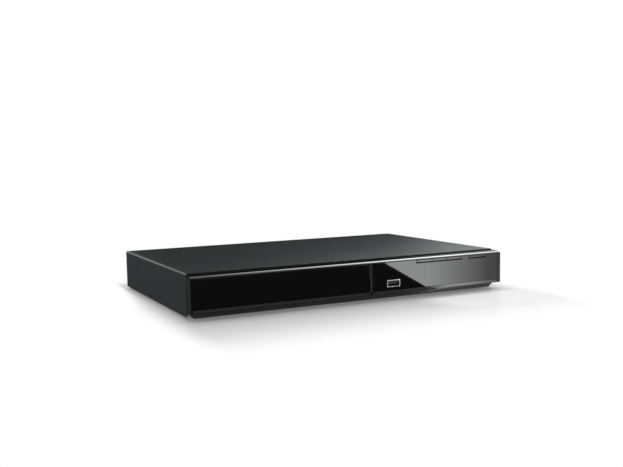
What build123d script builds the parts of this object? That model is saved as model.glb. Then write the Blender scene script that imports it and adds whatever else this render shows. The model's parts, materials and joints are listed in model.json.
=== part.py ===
from math import atan2, cos, degrees, pi, radians, sin
import os

from build123d import *

# Slim DVD player with a motor-driven disc tray, in millimetres.
# +X is to the right, +Y to the back and +Z up. The origin is under the middle of the case.

os.makedirs("parts", exist_ok=True)

LOW = (Align.CENTER, Align.CENTER, Align.MIN)

# ---------------------------------------------------------------- driving dimensions

# Case
width = 312.0  # over the side walls
depth = 209.0  # front face to the tips of the rear jacks
height = 38.0  # feet to the top of the cover
jack_reach = 10.5  # rear panel to the tips of the jacks
sheet = 0.8  # steel of the cover, the chassis and the rear panel
fold_radius = 1.6  # outside of the cover's folds
sheet_gap = 0.15  # between lapped sheets
foot_height = 1.2
foot_radius = 8.0
skirt_z = 2.2  # lower edge of the cover's sides
rear_lip = 11.0  # the cover's fold down over the rear panel
chassis_chamfer = 4.4  # slope along the chassis's lower side corners
chassis_flange = 10.0  # height of the chassis's side flanges
boss_radius = 4.2
screw_hole = 1.3

# Front panel
panel_depth = 12.5
panel_low_z = 6.4
panel_seam = 0.4  # open line between panel and cover
panel_wall = 2.2
rail_reach = 4.0  # depth of the rail's rounded nose
rail_drop = 1.4  # cover's top down to the crown of the nose
rail_back_drop = 1.0  # cover's top down to the rail's back edge
corner_left = 0.9
corner_right = 2.6
lip_top_z = 9.4
rail_low_z = 35.0
lip_slope = 0.9  # the lip's top stands this far back from its foot
lip_foot = 0.8  # rounded lower edge
door_left_x = -155.0
door_right_x = 9.6
post_width = 2.7  # upright between door and window
window_right_x = 152.6
plate_inset = 0.35  # door and window behind the nose of the rail
door_thickness = 2.6
window_thickness = 2.3
plinth_setback = 10.0

# Keys and the socket in the window
key_low_z = 32.7
key_slit = 1.1  # open line under the keys
key_wall_slit = 0.4  # the same in the wall behind the window
key_top_gap = 0.25
key_bar_left_x = 58.7
key_bar_right_x = 110.6
key_power_left_x = 118.1
key_power_right_x = 138.5
key_end_gap = 0.8
key_split = 0.35
key_travel = 0.5
key_free = key_travel + 0.05  # key stem to switch plunger at rest
usb_x = 34.25
usb_z = 15.6
usb_mouth_width = 13.7
usb_mouth_height = 6.4

# Loader: the tray and the frame that it slides in
disc_radius = 60.0
disc_y = -26.5  # spindle axis with the tray closed
tray_width = 132.0
tray_back_y = 76.0
tray_low_z = 20.5
tray_rim_z = 26.3
well_floor_z = 23.2
small_well_z = 22.0
tray_gap = 0.3  # tray to its ledges
frame_wall = 2.0
frame_low_z = 5.0
frame_front_y = -89.0
frame_back_y = 86.0
ledge_reach = 5.0
deck_low_z = 13.5  # gear deck of the frame
deck_thickness = 1.7

# Tray drive
gear_module = 1.0
drive_teeth = 24
pinion_teeth = 10
gear_y = -73.8
gear_low_z = 17.9
gear_high_z = 20.2
rack_offset = 56.0  # rack's pitch line from the tray's middle
mesh_play = 0.12
post_radius = 1.5
running_gap = 0.05
pulley_radius = 11.6
motor_pulley_radius = 3.0
motor_offset = -12.0
motor_radius = 11.8
belt_size = 1.2

# Traverse: swings about a rear axle to lift the turntable to the disc
hinge_y = 72.0
hinge_z = 13.7
lift_angle = 4.2
lift_slide = 14.0  # travel of the cam slide for the whole lift
cam_pin_radius = 1.2
turntable_radius = 15.0
turntable_z = 24.4  # disc seat with the traverse up
rod_radius = 1.5

# Boards
board = 1.6
board_low_z = 7.0

# ---------------------------------------------------------------- places worked out from them

half_width = width / 2
front_y = -depth / 2
end_y = depth / 2
rear_y = end_y - jack_reach
floor_z = foot_height + sheet
panel_back_y = front_y + panel_depth
cover_front_y = panel_back_y + panel_seam
cover_back_y = rear_y + sheet_gap + sheet
cover_low_face_z = height - sheet
rail_crown_z = height - rail_drop
chassis_half = half_width - sheet - sheet_gap
chassis_front_y = front_y + plinth_setback
post_right_x = door_right_x + post_width
plate_front_y = front_y + plate_inset
door_back_y = plate_front_y + door_thickness
window_back_y = plate_front_y + window_thickness
panel_wall_back_y = window_back_y + panel_wall
loader_x = (door_left_x + door_right_x) / 2
frame_half = tray_width / 2 + frame_wall + 2.0
drive_radius = gear_module * drive_teeth / 2
pinion_radius = gear_module * pinion_teeth / 2
drive_x = loader_x + rack_offset - drive_radius - mesh_play
pulley_x = drive_x - drive_radius - pinion_radius - mesh_play
motor_x = loader_x + motor_offset
deck_high_z = deck_low_z + deck_thickness
board_high_z = board_low_z + board

# The traverse's own level, tilted down at the front by the lift angle at rest.
# Sketches on it use x from the tray's middle, y from the hinge axle and height from the axle.
tilt = radians(lift_angle)
traverse = Plane(
    origin=(loader_x, hinge_y, hinge_z),
    x_dir=(1, 0, 0),
    z_dir=(0, -sin(tilt), cos(tilt)),
)
spindle_y = disc_y - hinge_y  # spindle axis from the hinge axle


def level(height_up):
    """Plane of the traverse that lies at this height when the traverse is up."""
    return traverse.offset(height_up - hinge_z)


# ---------------------------------------------------------------- case


def pressed_bosses(points, rise):
    """Bosses drawn up out of the chassis floor, open underneath, with a hole in the crown."""
    with Locations(*[(x, y, foot_height) for x, y in points]):
        Cylinder(boss_radius, sheet + rise, align=LOW)
        Cylinder(boss_radius - sheet, rise, align=LOW, mode=Mode.SUBTRACT)
        Cylinder(screw_hole, sheet + rise, align=LOW, mode=Mode.SUBTRACT)


cover_screw_xs = (-118.0, 0.0, 118.0)
cover_screw_z = height - 6.0
cover_hole = 1.7

with BuildPart() as top_cover:
    with BuildSketch(Plane.XZ.offset(-cover_back_y)) as cover_section:
        with Locations((0, skirt_z)):
            Rectangle(width, height - skirt_z, align=(Align.CENTER, Align.MIN))
        fillet(cover_section.vertices().group_by(Axis.Y)[-1], fold_radius)
        with Locations((0, skirt_z)):
            Rectangle(
                width - 2 * sheet,
                cover_low_face_z - skirt_z,
                align=(Align.CENTER, Align.MIN),
                mode=Mode.SUBTRACT,
            )
        inner_corners = cover_section.vertices().filter_by(
            lambda v: abs(v.Y - cover_low_face_z) < 0.01
        )
        fillet(inner_corners, fold_radius - sheet)
    extrude(amount=cover_back_y - cover_front_y)
    # rear lip, with its fold rounded along the flat of the top
    flat_width = width - 2 * fold_radius
    with BuildSketch(Plane.XZ.offset(-cover_back_y)):
        with Locations((0, height)):
            Rectangle(flat_width, rear_lip, align=(Align.CENTER, Align.MAX))
        with Locations(*[(x, cover_screw_z) for x in cover_screw_xs]):
            Circle(cover_hole, mode=Mode.SUBTRACT)
    extrude(amount=sheet)
    with BuildSketch(Plane.YZ.offset(-flat_width / 2)):
        with Locations((cover_back_y - fold_radius, height - fold_radius)):
            Rectangle(fold_radius, fold_radius, align=(Align.MIN, Align.MIN))
            Circle(fold_radius, mode=Mode.SUBTRACT)
    extrude(amount=flat_width, mode=Mode.SUBTRACT)

top_cover.part.label = "top_cover"
export_step(top_cover.part, "parts/top_cover.step")

# Screw places of the loader and the boards, on bosses of the chassis floor
loader_screws = [
    (loader_x + side * (frame_half + 4.0), y)
    for side in (-1, 1)
    for y in (frame_front_y + 12, frame_back_y - 12)
]
main_board_x = (9.0, 98.0)
main_board_y = (-52.0, rear_y - sheet - 1.5)
power_board_x = (103.0, 151.0)
power_board_y = (-30.0, rear_y - sheet - 1.5)
board_inset = 5.0
board_screws = [
    (x, y)
    for xs, ys in ((main_board_x, main_board_y), (power_board_x, power_board_y))
    for x in (xs[0] + board_inset, xs[1] - board_inset)
    for y in (ys[0] + board_inset, ys[1] - 24.0)
]
vent_length = 24.0
vent_width = 2.6

with BuildPart() as bottom_chassis:
    with BuildSketch(Plane.XZ.offset(-(rear_y - sheet))):
        with BuildLine():
            side_x = chassis_half - sheet / 2
            low_z = foot_height + sheet / 2
            Polyline(
                (-side_x, foot_height + chassis_flange),
                (-side_x, low_z + chassis_chamfer),
                (-side_x + chassis_chamfer, low_z),
                (side_x - chassis_chamfer, low_z),
                (side_x, low_z + chassis_chamfer),
                (side_x, foot_height + chassis_flange),
            )
        trace(line_width=sheet)
    extrude(amount=rear_y - sheet - chassis_front_y)
    # front wall under the panel
    with BuildSketch(Plane.XZ.offset(-chassis_front_y)):
        with BuildLine():
            Polyline(
                (-chassis_half, panel_low_z),
                (-chassis_half, foot_height + chassis_chamfer + sheet / 2),
                (-chassis_half + chassis_chamfer + sheet / 2, foot_height),
                (chassis_half - chassis_chamfer - sheet / 2, foot_height),
                (chassis_half, foot_height + chassis_chamfer + sheet / 2),
                (chassis_half, panel_low_z),
                close=True,
            )
        make_face()
    extrude(amount=-sheet)
    # the side flanges start behind the panel
    with Locations((0, panel_back_y + panel_seam, panel_low_z)):
        Box(
            width,
            panel_depth,
            chassis_flange,
            align=(Align.CENTER, Align.MAX, Align.MIN),
            mode=Mode.SUBTRACT,
        )
    pressed_bosses(loader_screws, frame_low_z - floor_z)
    pressed_bosses(board_screws, board_low_z - floor_z)
    with BuildSketch(Plane.XY.offset(foot_height)):
        with Locations((54.0, 8.0), (126.0, 20.0)):
            with GridLocations(0, 8.0, 1, 7):
                SlotOverall(vent_length, vent_width)
    extrude(amount=sheet, mode=Mode.SUBTRACT)

bottom_chassis.part.label = "bottom_chassis"
export_step(bottom_chassis.part, "parts/bottom_chassis.step")

foot_inset_x = 18.0
foot_inset_y = 16.0
foot_span_x = width - 2 * foot_inset_x
foot_span_y = rear_y - chassis_front_y - 2 * foot_inset_y

with BuildPart() as feet:
    with BuildSketch(Plane.XY):
        with Locations((0, (rear_y + chassis_front_y) / 2)):
            with GridLocations(foot_span_x, foot_span_y, 2, 2):
                Circle(foot_radius)
    extrude(amount=foot_height)
    chamfer(feet.edges().group_by(Axis.Z)[0], 0.3)

feet.part.label = "feet"
export_step(feet.part, "parts/feet.step")

# Sockets through the rear panel
av_xs = (24.0, 38.0, 52.0)
av_z = 18.0
coax_x = 68.0
hdmi_x = 86.0
inlet_x = 136.0
inlet_z = 19.0
rca_radius = 4.15
rca_hole = 5.3
hdmi_width = 15.2
hdmi_height = 5.6
inlet_width = 21.0
inlet_height = 13.0
rear_flange = 7.0

with BuildPart() as rear_panel:
    with BuildSketch(Plane.XZ.offset(-rear_y)):
        with BuildLine():
            Polyline(
                (-chassis_half + fold_radius, cover_low_face_z - sheet_gap),
                (-chassis_half, cover_low_face_z - sheet_gap - fold_radius),
                (-chassis_half, foot_height + chassis_chamfer + sheet / 2),
                (-chassis_half + chassis_chamfer + sheet / 2, foot_height),
                (chassis_half - chassis_chamfer - sheet / 2, foot_height),
                (chassis_half, foot_height + chassis_chamfer + sheet / 2),
                (chassis_half, cover_low_face_z - sheet_gap - fold_radius),
                (chassis_half - fold_radius, cover_low_face_z - sheet_gap),
                close=True,
            )
        make_face()
        with Locations(*[(x, av_z) for x in (*av_xs, coax_x)]):
            Circle(rca_hole, mode=Mode.SUBTRACT)
        with Locations((hdmi_x, board_high_z + hdmi_height / 2)):
            Rectangle(hdmi_width + 0.6, hdmi_height + 0.6, mode=Mode.SUBTRACT)
        with Locations((inlet_x, inlet_z)):
            Rectangle(inlet_width + 0.4, inlet_height + 0.4, mode=Mode.SUBTRACT)
        with Locations((-72.0, 18.0)):
            with GridLocations(6.0, 0, 15, 1):
                SlotOverall(14.0, vent_width, rotation=90, mode=Mode.SUBTRACT)
        with Locations(*[(x, cover_screw_z) for x in cover_screw_xs]):
            Circle(screw_hole, mode=Mode.SUBTRACT)
    extrude(amount=sheet)
    # flanges folded forward: one on the floor, one inside each side of the chassis
    with Locations((0, rear_y - sheet, floor_z)):
        Box(
            width - 2 * chassis_chamfer - 20,
            rear_flange,
            sheet,
            align=(Align.CENTER, Align.MAX, Align.MIN),
        )
    for side in (-1, 1):
        with Locations((side * (chassis_half - 1.5 * sheet), rear_y - sheet, floor_z + 6)):
            Box(sheet, rear_flange, 26.0, align=(Align.CENTER, Align.MAX, Align.MIN))

rear_panel.part.label = "rear_panel"
export_step(rear_panel.part, "parts/rear_panel.step")


# ---------------------------------------------------------------- front panel


plate_gap = 0.15  # door and window edges to their rebates
key_top_z = rail_low_z - key_top_gap
key_shoulder_y = panel_wall_back_y + 0.3
key_shoulder = 1.0
key_stem_y = key_shoulder_y + key_shoulder + 0.8
switch_plunger = 0.7
switch_body = 3.4
front_board_y = key_stem_y + key_free + switch_plunger + switch_body
front_board_x = (54.0, 149.0)
front_board_z = (9.5, 35.3)
front_board_posts = [(57.5, 13.0), (101.0, 13.0), (145.5, 13.0)]
receiver_x = 112.0
lamp_x = 128.3
window_part_z = 24.0
usb_board_top_z = usb_z - usb_mouth_height / 2 + 0.35
usb_board_half = 12.5


def key_openings(clearance, mode=Mode.ADD):
    """The two slots of the keys, open by the clearance under them."""
    for left_x, right_x in (
        (key_bar_left_x, key_bar_right_x),
        (key_power_left_x, key_power_right_x),
    ):
        with Locations(((left_x + right_x) / 2, (key_low_z - clearance + rail_low_z) / 2)):
            Rectangle(right_x - left_x, rail_low_z - key_low_z + clearance, mode=mode)


with BuildPart() as front_panel:
    with BuildSketch(Plane.YZ.offset(-half_width)) as panel_section:
        with BuildLine():
            crown = (front_y + rail_reach, rail_crown_z)
            nose = TangentArc(crown, (front_y, rail_low_z), tangent=(-1, -0.03))
            Polyline(
                nose @ 1,
                (front_y, panel_low_z),
                (panel_back_y, panel_low_z),
                (panel_back_y, height - rail_back_drop),
                nose @ 0,
            )
        make_face()
        front_points = panel_section.vertices().group_by(Axis.X)[0].sort_by(Axis.Y)
        fillet(front_points[0], lip_foot)
    extrude(amount=width)
    with BuildSketch() as panel_plan:
        with Locations((0, (front_y + panel_back_y) / 2)):
            Rectangle(width, panel_depth)
        corners = panel_plan.vertices().group_by(Axis.Y)[0].sort_by(Axis.X)
        fillet(corners[0], corner_left)
        fillet(corners[-1], corner_right)
    extrude(amount=height, mode=Mode.INTERSECT)
    # hollow behind the front wall
    with BuildSketch(Plane.XZ.offset(-panel_back_y)):
        with Locations((0, (panel_low_z + height) / 2)):
            Rectangle(width - 2 * panel_wall, height - panel_low_z - 2 * panel_wall)
    extrude(amount=panel_back_y - panel_wall_back_y, mode=Mode.SUBTRACT)
    # rebates for the door and the window, with a sloped lip below each
    for left_x, right_x, back_y in (
        (door_left_x, door_right_x, door_back_y + plate_gap),
        (post_right_x, window_right_x, window_back_y),
    ):
        with BuildSketch(Plane.YZ.offset(left_x)):
            with BuildLine():
                Polyline(
                    (front_y, rail_low_z),
                    (back_y, rail_low_z),
                    (back_y, lip_top_z),
                    (front_y + lip_slope, lip_top_z),
                    (front_y, panel_low_z + lip_foot),
                    close=True,
                )
            make_face()
        extrude(amount=right_x - left_x, mode=Mode.SUBTRACT)
    # way through for the tray
    with BuildSketch(Plane.XZ.offset(-panel_wall_back_y)):
        with Locations((loader_x, (lip_top_z + rail_low_z) / 2)):
            RectangleRounded(tray_width + 14, rail_low_z - lip_top_z - 5, 2)
    extrude(amount=panel_wall_back_y - front_y, mode=Mode.SUBTRACT)
    # way through for the keys, the socket, the receiver and the lamp
    with BuildSketch(Plane.XZ.offset(-panel_wall_back_y)):
        key_openings(key_wall_slit)
        with Locations((usb_x, usb_z)):
            Rectangle(usb_mouth_width + 0.4, usb_mouth_height + 0.4)
        with Locations((receiver_x, window_part_z)):
            Circle(4.0)
        with Locations((lamp_x, window_part_z)):
            Circle(1.8)
    extrude(amount=panel_wall, mode=Mode.SUBTRACT)
    # posts for the key board and shelf ribs for the socket's board
    with BuildSketch(Plane.XZ.offset(-panel_wall_back_y)):
        with Locations(*front_board_posts):
            Circle(2.6)
            Circle(0.9, mode=Mode.SUBTRACT)
    extrude(amount=-(front_board_y - panel_wall_back_y))
    with BuildSketch(Plane.XZ.offset(-panel_wall_back_y)):
        with Locations((usb_x, usb_board_top_z - board)):
            with GridLocations(2 * usb_board_half - 4, 0, 2, 1):
                Rectangle(
                    1.6,
                    usb_board_top_z - board - panel_low_z - panel_wall,
                    align=(Align.CENTER, Align.MAX),
                )
    extrude(amount=-(panel_back_y - panel_wall_back_y))

front_panel.part.label = "front_panel"
export_step(front_panel.part, "parts/front_panel.step")

with BuildPart() as front_window:
    with BuildSketch(Plane.XZ.offset(-window_back_y)):
        with Locations(((post_right_x + window_right_x) / 2, (lip_top_z + rail_low_z) / 2)):
            Rectangle(
                window_right_x - post_right_x - 2 * plate_gap,
                rail_low_z - lip_top_z - 2 * plate_gap,
            )
        key_openings(key_slit, mode=Mode.SUBTRACT)
        with Locations((usb_x, usb_z)):
            RectangleRounded(
                usb_mouth_width + 0.3, usb_mouth_height + 0.3, 0.6, mode=Mode.SUBTRACT
            )
    extrude(amount=window_thickness)

front_window.part.label = "front_window"
export_step(front_window.part, "parts/front_window.step")

door_low_z = lip_top_z + 2 * plate_gap
door_high_z = rail_low_z - 2 * plate_gap

with BuildPart() as tray_door:
    with BuildSketch(Plane.XZ.offset(-door_back_y)):
        with Locations(
            ((door_left_x + door_right_x) / 2, (door_low_z + door_high_z) / 2)
        ):
            Rectangle(
                door_right_x - door_left_x - 2 * plate_gap, door_high_z - door_low_z
            )
    extrude(amount=door_thickness)
    door_rim = tray_door.faces().sort_by(Axis.Y)[0].edges()
    fillet(door_rim, 0.4)
    # stiffening rim on the back, inside the panel's opening
    with BuildSketch(Plane.XZ.offset(-door_back_y)):
        with Locations((loader_x, (door_low_z + door_high_z) / 2)):
            RectangleRounded(tray_width + 10, door_high_z - door_low_z - 6, 1.5)
            RectangleRounded(
                tray_width + 6, door_high_z - door_low_z - 10, 1.0, mode=Mode.SUBTRACT
            )
    extrude(amount=-2.0)

tray_door.part.label = "tray_door"
export_step(tray_door.part, "parts/tray_door.step")


def press_key(left_x, right_x):
    """Bar in the window's slot, a shoulder behind the panel wall and a stem to the switch."""
    middle_x = (left_x + right_x) / 2
    with BuildPart() as key:
        with BuildSketch(Plane.XZ.offset(-key_shoulder_y)):
            with Locations((middle_x, (key_low_z + key_top_z) / 2)):
                Rectangle(right_x - left_x, key_top_z - key_low_z)
        extrude(amount=key_shoulder_y - plate_front_y)
        fillet(key.faces().sort_by(Axis.Y)[0].edges().filter_by(Axis.X), 0.25)
        with BuildSketch(Plane.XZ.offset(-key_shoulder_y)):
            with Locations((middle_x, (key_low_z + key_top_z) / 2)):
                Rectangle(right_x - left_x - 0.4, key_top_z - key_low_z + 1.8)
        extrude(amount=-key_shoulder)
        with BuildSketch(Plane.XZ.offset(-(key_shoulder_y + key_shoulder))):
            with Locations((middle_x, (key_low_z + key_top_z) / 2)):
                Circle(1.4)
        extrude(amount=-(key_stem_y - key_shoulder_y - key_shoulder))
    return key


bar_left = key_bar_left_x + key_end_gap
bar_pitch = (key_bar_right_x - bar_left) / 3

open_key = press_key(bar_left, bar_left + bar_pitch - key_split)
open_key.part.label = "open_key"
export_step(open_key.part, "parts/open_key.step")

stop_key = press_key(bar_left + bar_pitch, bar_left + 2 * bar_pitch - key_split)
stop_key.part.label = "stop_key"
export_step(stop_key.part, "parts/stop_key.step")

play_key = press_key(bar_left + 2 * bar_pitch, bar_left + 3 * bar_pitch - key_split)
play_key.part.label = "play_key"
export_step(play_key.part, "parts/play_key.step")

power_key = press_key(key_power_left_x + key_end_gap, key_power_right_x - key_split)
power_key.part.label = "power_key"
export_step(power_key.part, "parts/power_key.step")

key_xs = [bar_left + (i + 0.5) * bar_pitch - key_split / 2 for i in range(3)]
key_xs.append((key_power_left_x + key_end_gap + key_power_right_x - key_split) / 2)
key_z = (key_low_z + key_top_z) / 2

with BuildPart() as front_board:
    with BuildSketch(Plane.XZ.offset(-front_board_y)):
        with Locations((sum(front_board_x) / 2, sum(front_board_z) / 2)):
            Rectangle(
                front_board_x[1] - front_board_x[0], front_board_z[1] - front_board_z[0]
            )
        with Locations(*front_board_posts):
            Circle(1.2, mode=Mode.SUBTRACT)
    extrude(amount=-board)

front_board.part.label = "front_board"
export_step(front_board.part, "parts/front_board.step")

with BuildPart() as key_switches:
    with BuildSketch(Plane.XZ.offset(-front_board_y)):
        with Locations(*[(x, key_z - 1.2) for x in key_xs]):
            Rectangle(6.0, 5.0)
    extrude(amount=switch_body)
    with BuildSketch(Plane.XZ.offset(-(front_board_y - switch_body))):
        with Locations(*[(x, key_z) for x in key_xs]):
            Circle(1.3)
    extrude(amount=switch_plunger)

key_switches.part.label = "key_switches"
export_step(key_switches.part, "parts/key_switches.step")

with BuildPart() as infrared_receiver:
    with BuildSketch(Plane.XZ.offset(-front_board_y)):
        with Locations((receiver_x, window_part_z)):
            RectangleRounded(6.0, 7.0, 0.8)
    extrude(amount=3.0)
    with Locations((receiver_x, front_board_y - 3.0, window_part_z)):
        Sphere(2.4)

infrared_receiver.part.label = "infrared_receiver"
export_step(infrared_receiver.part, "parts/infrared_receiver.step")

with BuildPart() as power_lamp:
    with BuildSketch(Plane.XZ.offset(-front_board_y)):
        with Locations((lamp_x, window_part_z)):
            Circle(1.9)
    extrude(amount=1.0)
    with BuildSketch(Plane.XZ.offset(-(front_board_y - 1.0))):
        with Locations((lamp_x, window_part_z)):
            Circle(1.5)
    extrude(amount=4.0)
    fillet(power_lamp.edges().group_by(Axis.Y)[0], 1.3)

power_lamp.part.label = "power_lamp"
export_step(power_lamp.part, "parts/power_lamp.step")

# Upright socket in the window, its shell flared at the mouth
usb_shell_width = usb_mouth_width - 0.6
usb_shell_height = usb_mouth_height - 0.7
usb_wall = 0.4
usb_depth = 13.0
usb_mouth_y = plate_front_y

with BuildPart() as usb_shell:
    with BuildSketch(Plane.XZ.offset(-(usb_mouth_y + usb_depth))):
        with Locations((usb_x, usb_z)):
            RectangleRounded(usb_shell_width, usb_shell_height, 0.5)
            RectangleRounded(
                usb_shell_width - 2 * usb_wall,
                usb_shell_height - 2 * usb_wall,
                0.2,
                mode=Mode.SUBTRACT,
            )
    extrude(amount=usb_depth)
    with BuildSketch(Plane.XZ.offset(-(usb_mouth_y + usb_wall))):
        with Locations((usb_x, usb_z)):
            RectangleRounded(usb_mouth_width, usb_mouth_height, 0.5)
            RectangleRounded(
                usb_shell_width - 2 * usb_wall,
                usb_shell_height - 2 * usb_wall,
                0.2,
                mode=Mode.SUBTRACT,
            )
    extrude(amount=usb_wall)

usb_shell.part.label = "usb_shell"
export_step(usb_shell.part, "parts/usb_shell.step")

with BuildPart() as usb_board:
    with BuildSketch(Plane.XY.offset(usb_board_top_z)):
        with Locations((usb_x, panel_wall_back_y + plate_gap)):
            Rectangle(2 * usb_board_half, 20.0, align=(Align.CENTER, Align.MIN))
        with Locations((usb_x, panel_wall_back_y + 16.0)):
            with GridLocations(2 * usb_board_half - 6, 0, 2, 1):
                Circle(screw_hole, mode=Mode.SUBTRACT)
    extrude(amount=-board)

usb_board.part.label = "usb_board"
export_step(usb_board.part, "parts/usb_board.step")


# ---------------------------------------------------------------- disc tray and its frame


def tooth(root, tip, foot, crest):
    """One straight-flanked tooth pointing along the local +X."""
    Polygon(
        (root, -foot / 2),
        (tip, -crest / 2),
        (tip, crest / 2),
        (root, foot / 2),
        align=None,
    )


pitch = pi * gear_module
tooth_foot = 0.60 * pitch
tooth_crest = 0.20 * pitch


def gear_face(teeth, turn):
    """Spur gear in the running sketch, its first tooth turned by this angle."""
    root = gear_module * (teeth / 2 - 1.25)
    Circle(root)
    with PolarLocations(0, teeth, start_angle=turn):
        tooth(root - 0.3, gear_module * (teeth / 2 + 0.95), tooth_foot, tooth_crest)


rack_x = loader_x + rack_offset
rack_first_y = gear_y - 2.5 * pitch
rack_tail = 5.0  # last tooth to the tray's back edge, at least
rack_teeth = int((tray_back_y - rack_tail - rack_first_y) / pitch + 0.5)
rack_low_z = gear_low_z
rack_back = 1.25 * gear_module + 3.0  # from the pitch line to the rack's plain side
rack_clearance = 0.6
slot_half = 20.0
slot_back_y = disc_y + 56.0

with BuildPart() as disc_tray:
    with BuildSketch(Plane.XY.offset(tray_low_z)):
        with Locations((loader_x, door_back_y)):
            Rectangle(tray_width, tray_back_y - door_back_y, align=(Align.CENTER, Align.MIN))
    extrude(amount=tray_rim_z - tray_low_z)
    fillet(disc_tray.edges().filter_by(Axis.Z).group_by(Axis.Y)[-1], 3.0)
    # 12 cm well, 8 cm well and the way through for the turntable and the pickup
    with BuildSketch(Plane.XY.offset(well_floor_z)):
        with Locations((loader_x, disc_y)):
            Circle(disc_radius + 0.8)
    extrude(amount=tray_rim_z - well_floor_z, mode=Mode.SUBTRACT)
    with BuildSketch(Plane.XY.offset(small_well_z)):
        with Locations((loader_x, disc_y)):
            Circle(41.0)
    extrude(amount=well_floor_z - small_well_z, mode=Mode.SUBTRACT)
    chamfer(
        disc_tray.edges().filter_by(GeomType.CIRCLE).group_by(Axis.Z)[-1], 0.8
    )
    with BuildSketch(Plane.XY.offset(tray_low_z)):
        with Locations((loader_x, disc_y)):
            Circle(slot_half)
        with Locations((loader_x, disc_y)):
            Rectangle(2 * slot_half, slot_back_y - disc_y, align=(Align.CENTER, Align.MIN))
    extrude(amount=tray_rim_z - tray_low_z, mode=Mode.SUBTRACT)
    # shallow recess behind the well
    with BuildSketch(Plane.XY.offset(tray_rim_z - 1.2)):
        with Locations((loader_x, tray_back_y - 22.0)):
            RectangleRounded(tray_width - 24, 24.0, 4.0)
    extrude(amount=1.2, mode=Mode.SUBTRACT)
    # underside: pockets leave ribs between them
    with BuildSketch(Plane.XY.offset(tray_low_z)):
        with Locations((loader_x, tray_back_y - 22.0)):
            with GridLocations(22.0, 16.0, 4, 2):
                Rectangle(20.4, 14.4)
        with Locations((loader_x, door_back_y + 7.0)):
            with GridLocations(24.0, 0, 5, 1):
                Rectangle(22.0, 9.0)
    extrude(amount=1.6, mode=Mode.SUBTRACT)
    # rack under the right side
    with BuildSketch(Plane.XY.offset(tray_low_z)):
        with Locations((rack_x + 1.25 * gear_module, rack_first_y - pitch / 2)):
            Rectangle(3.0, rack_teeth * pitch, align=(Align.MIN, Align.MIN))
        for index in range(rack_teeth):
            with Locations(
                Location((rack_x, rack_first_y + index * pitch, 0), (0, 0, 180))
            ):
                tooth(-1.25 * gear_module - 0.2, 0.95 * gear_module, tooth_foot, tooth_crest)
    extrude(amount=-(tray_low_z - rack_low_z))

disc_tray.part.label = "disc_tray"
export_step(disc_tray.part, "parts/disc_tray.step")

ledge_z = tray_low_z - tray_gap
hold_down_z = tray_rim_z + 0.4
frame_top_z = hold_down_z + 1.5
bridge_z = 29.0
bridge_width = 40.0
bridge_thickness = 1.2
beam_back_y = -59.8
beam_thickness = 2.0
slide_rib_z = 9.0
slide_rib = 1.6
ear_x = 50.3
ear_thickness = 3.6
deck_front_y = frame_front_y + frame_wall
rear_shelf_y = 63.0

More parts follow.
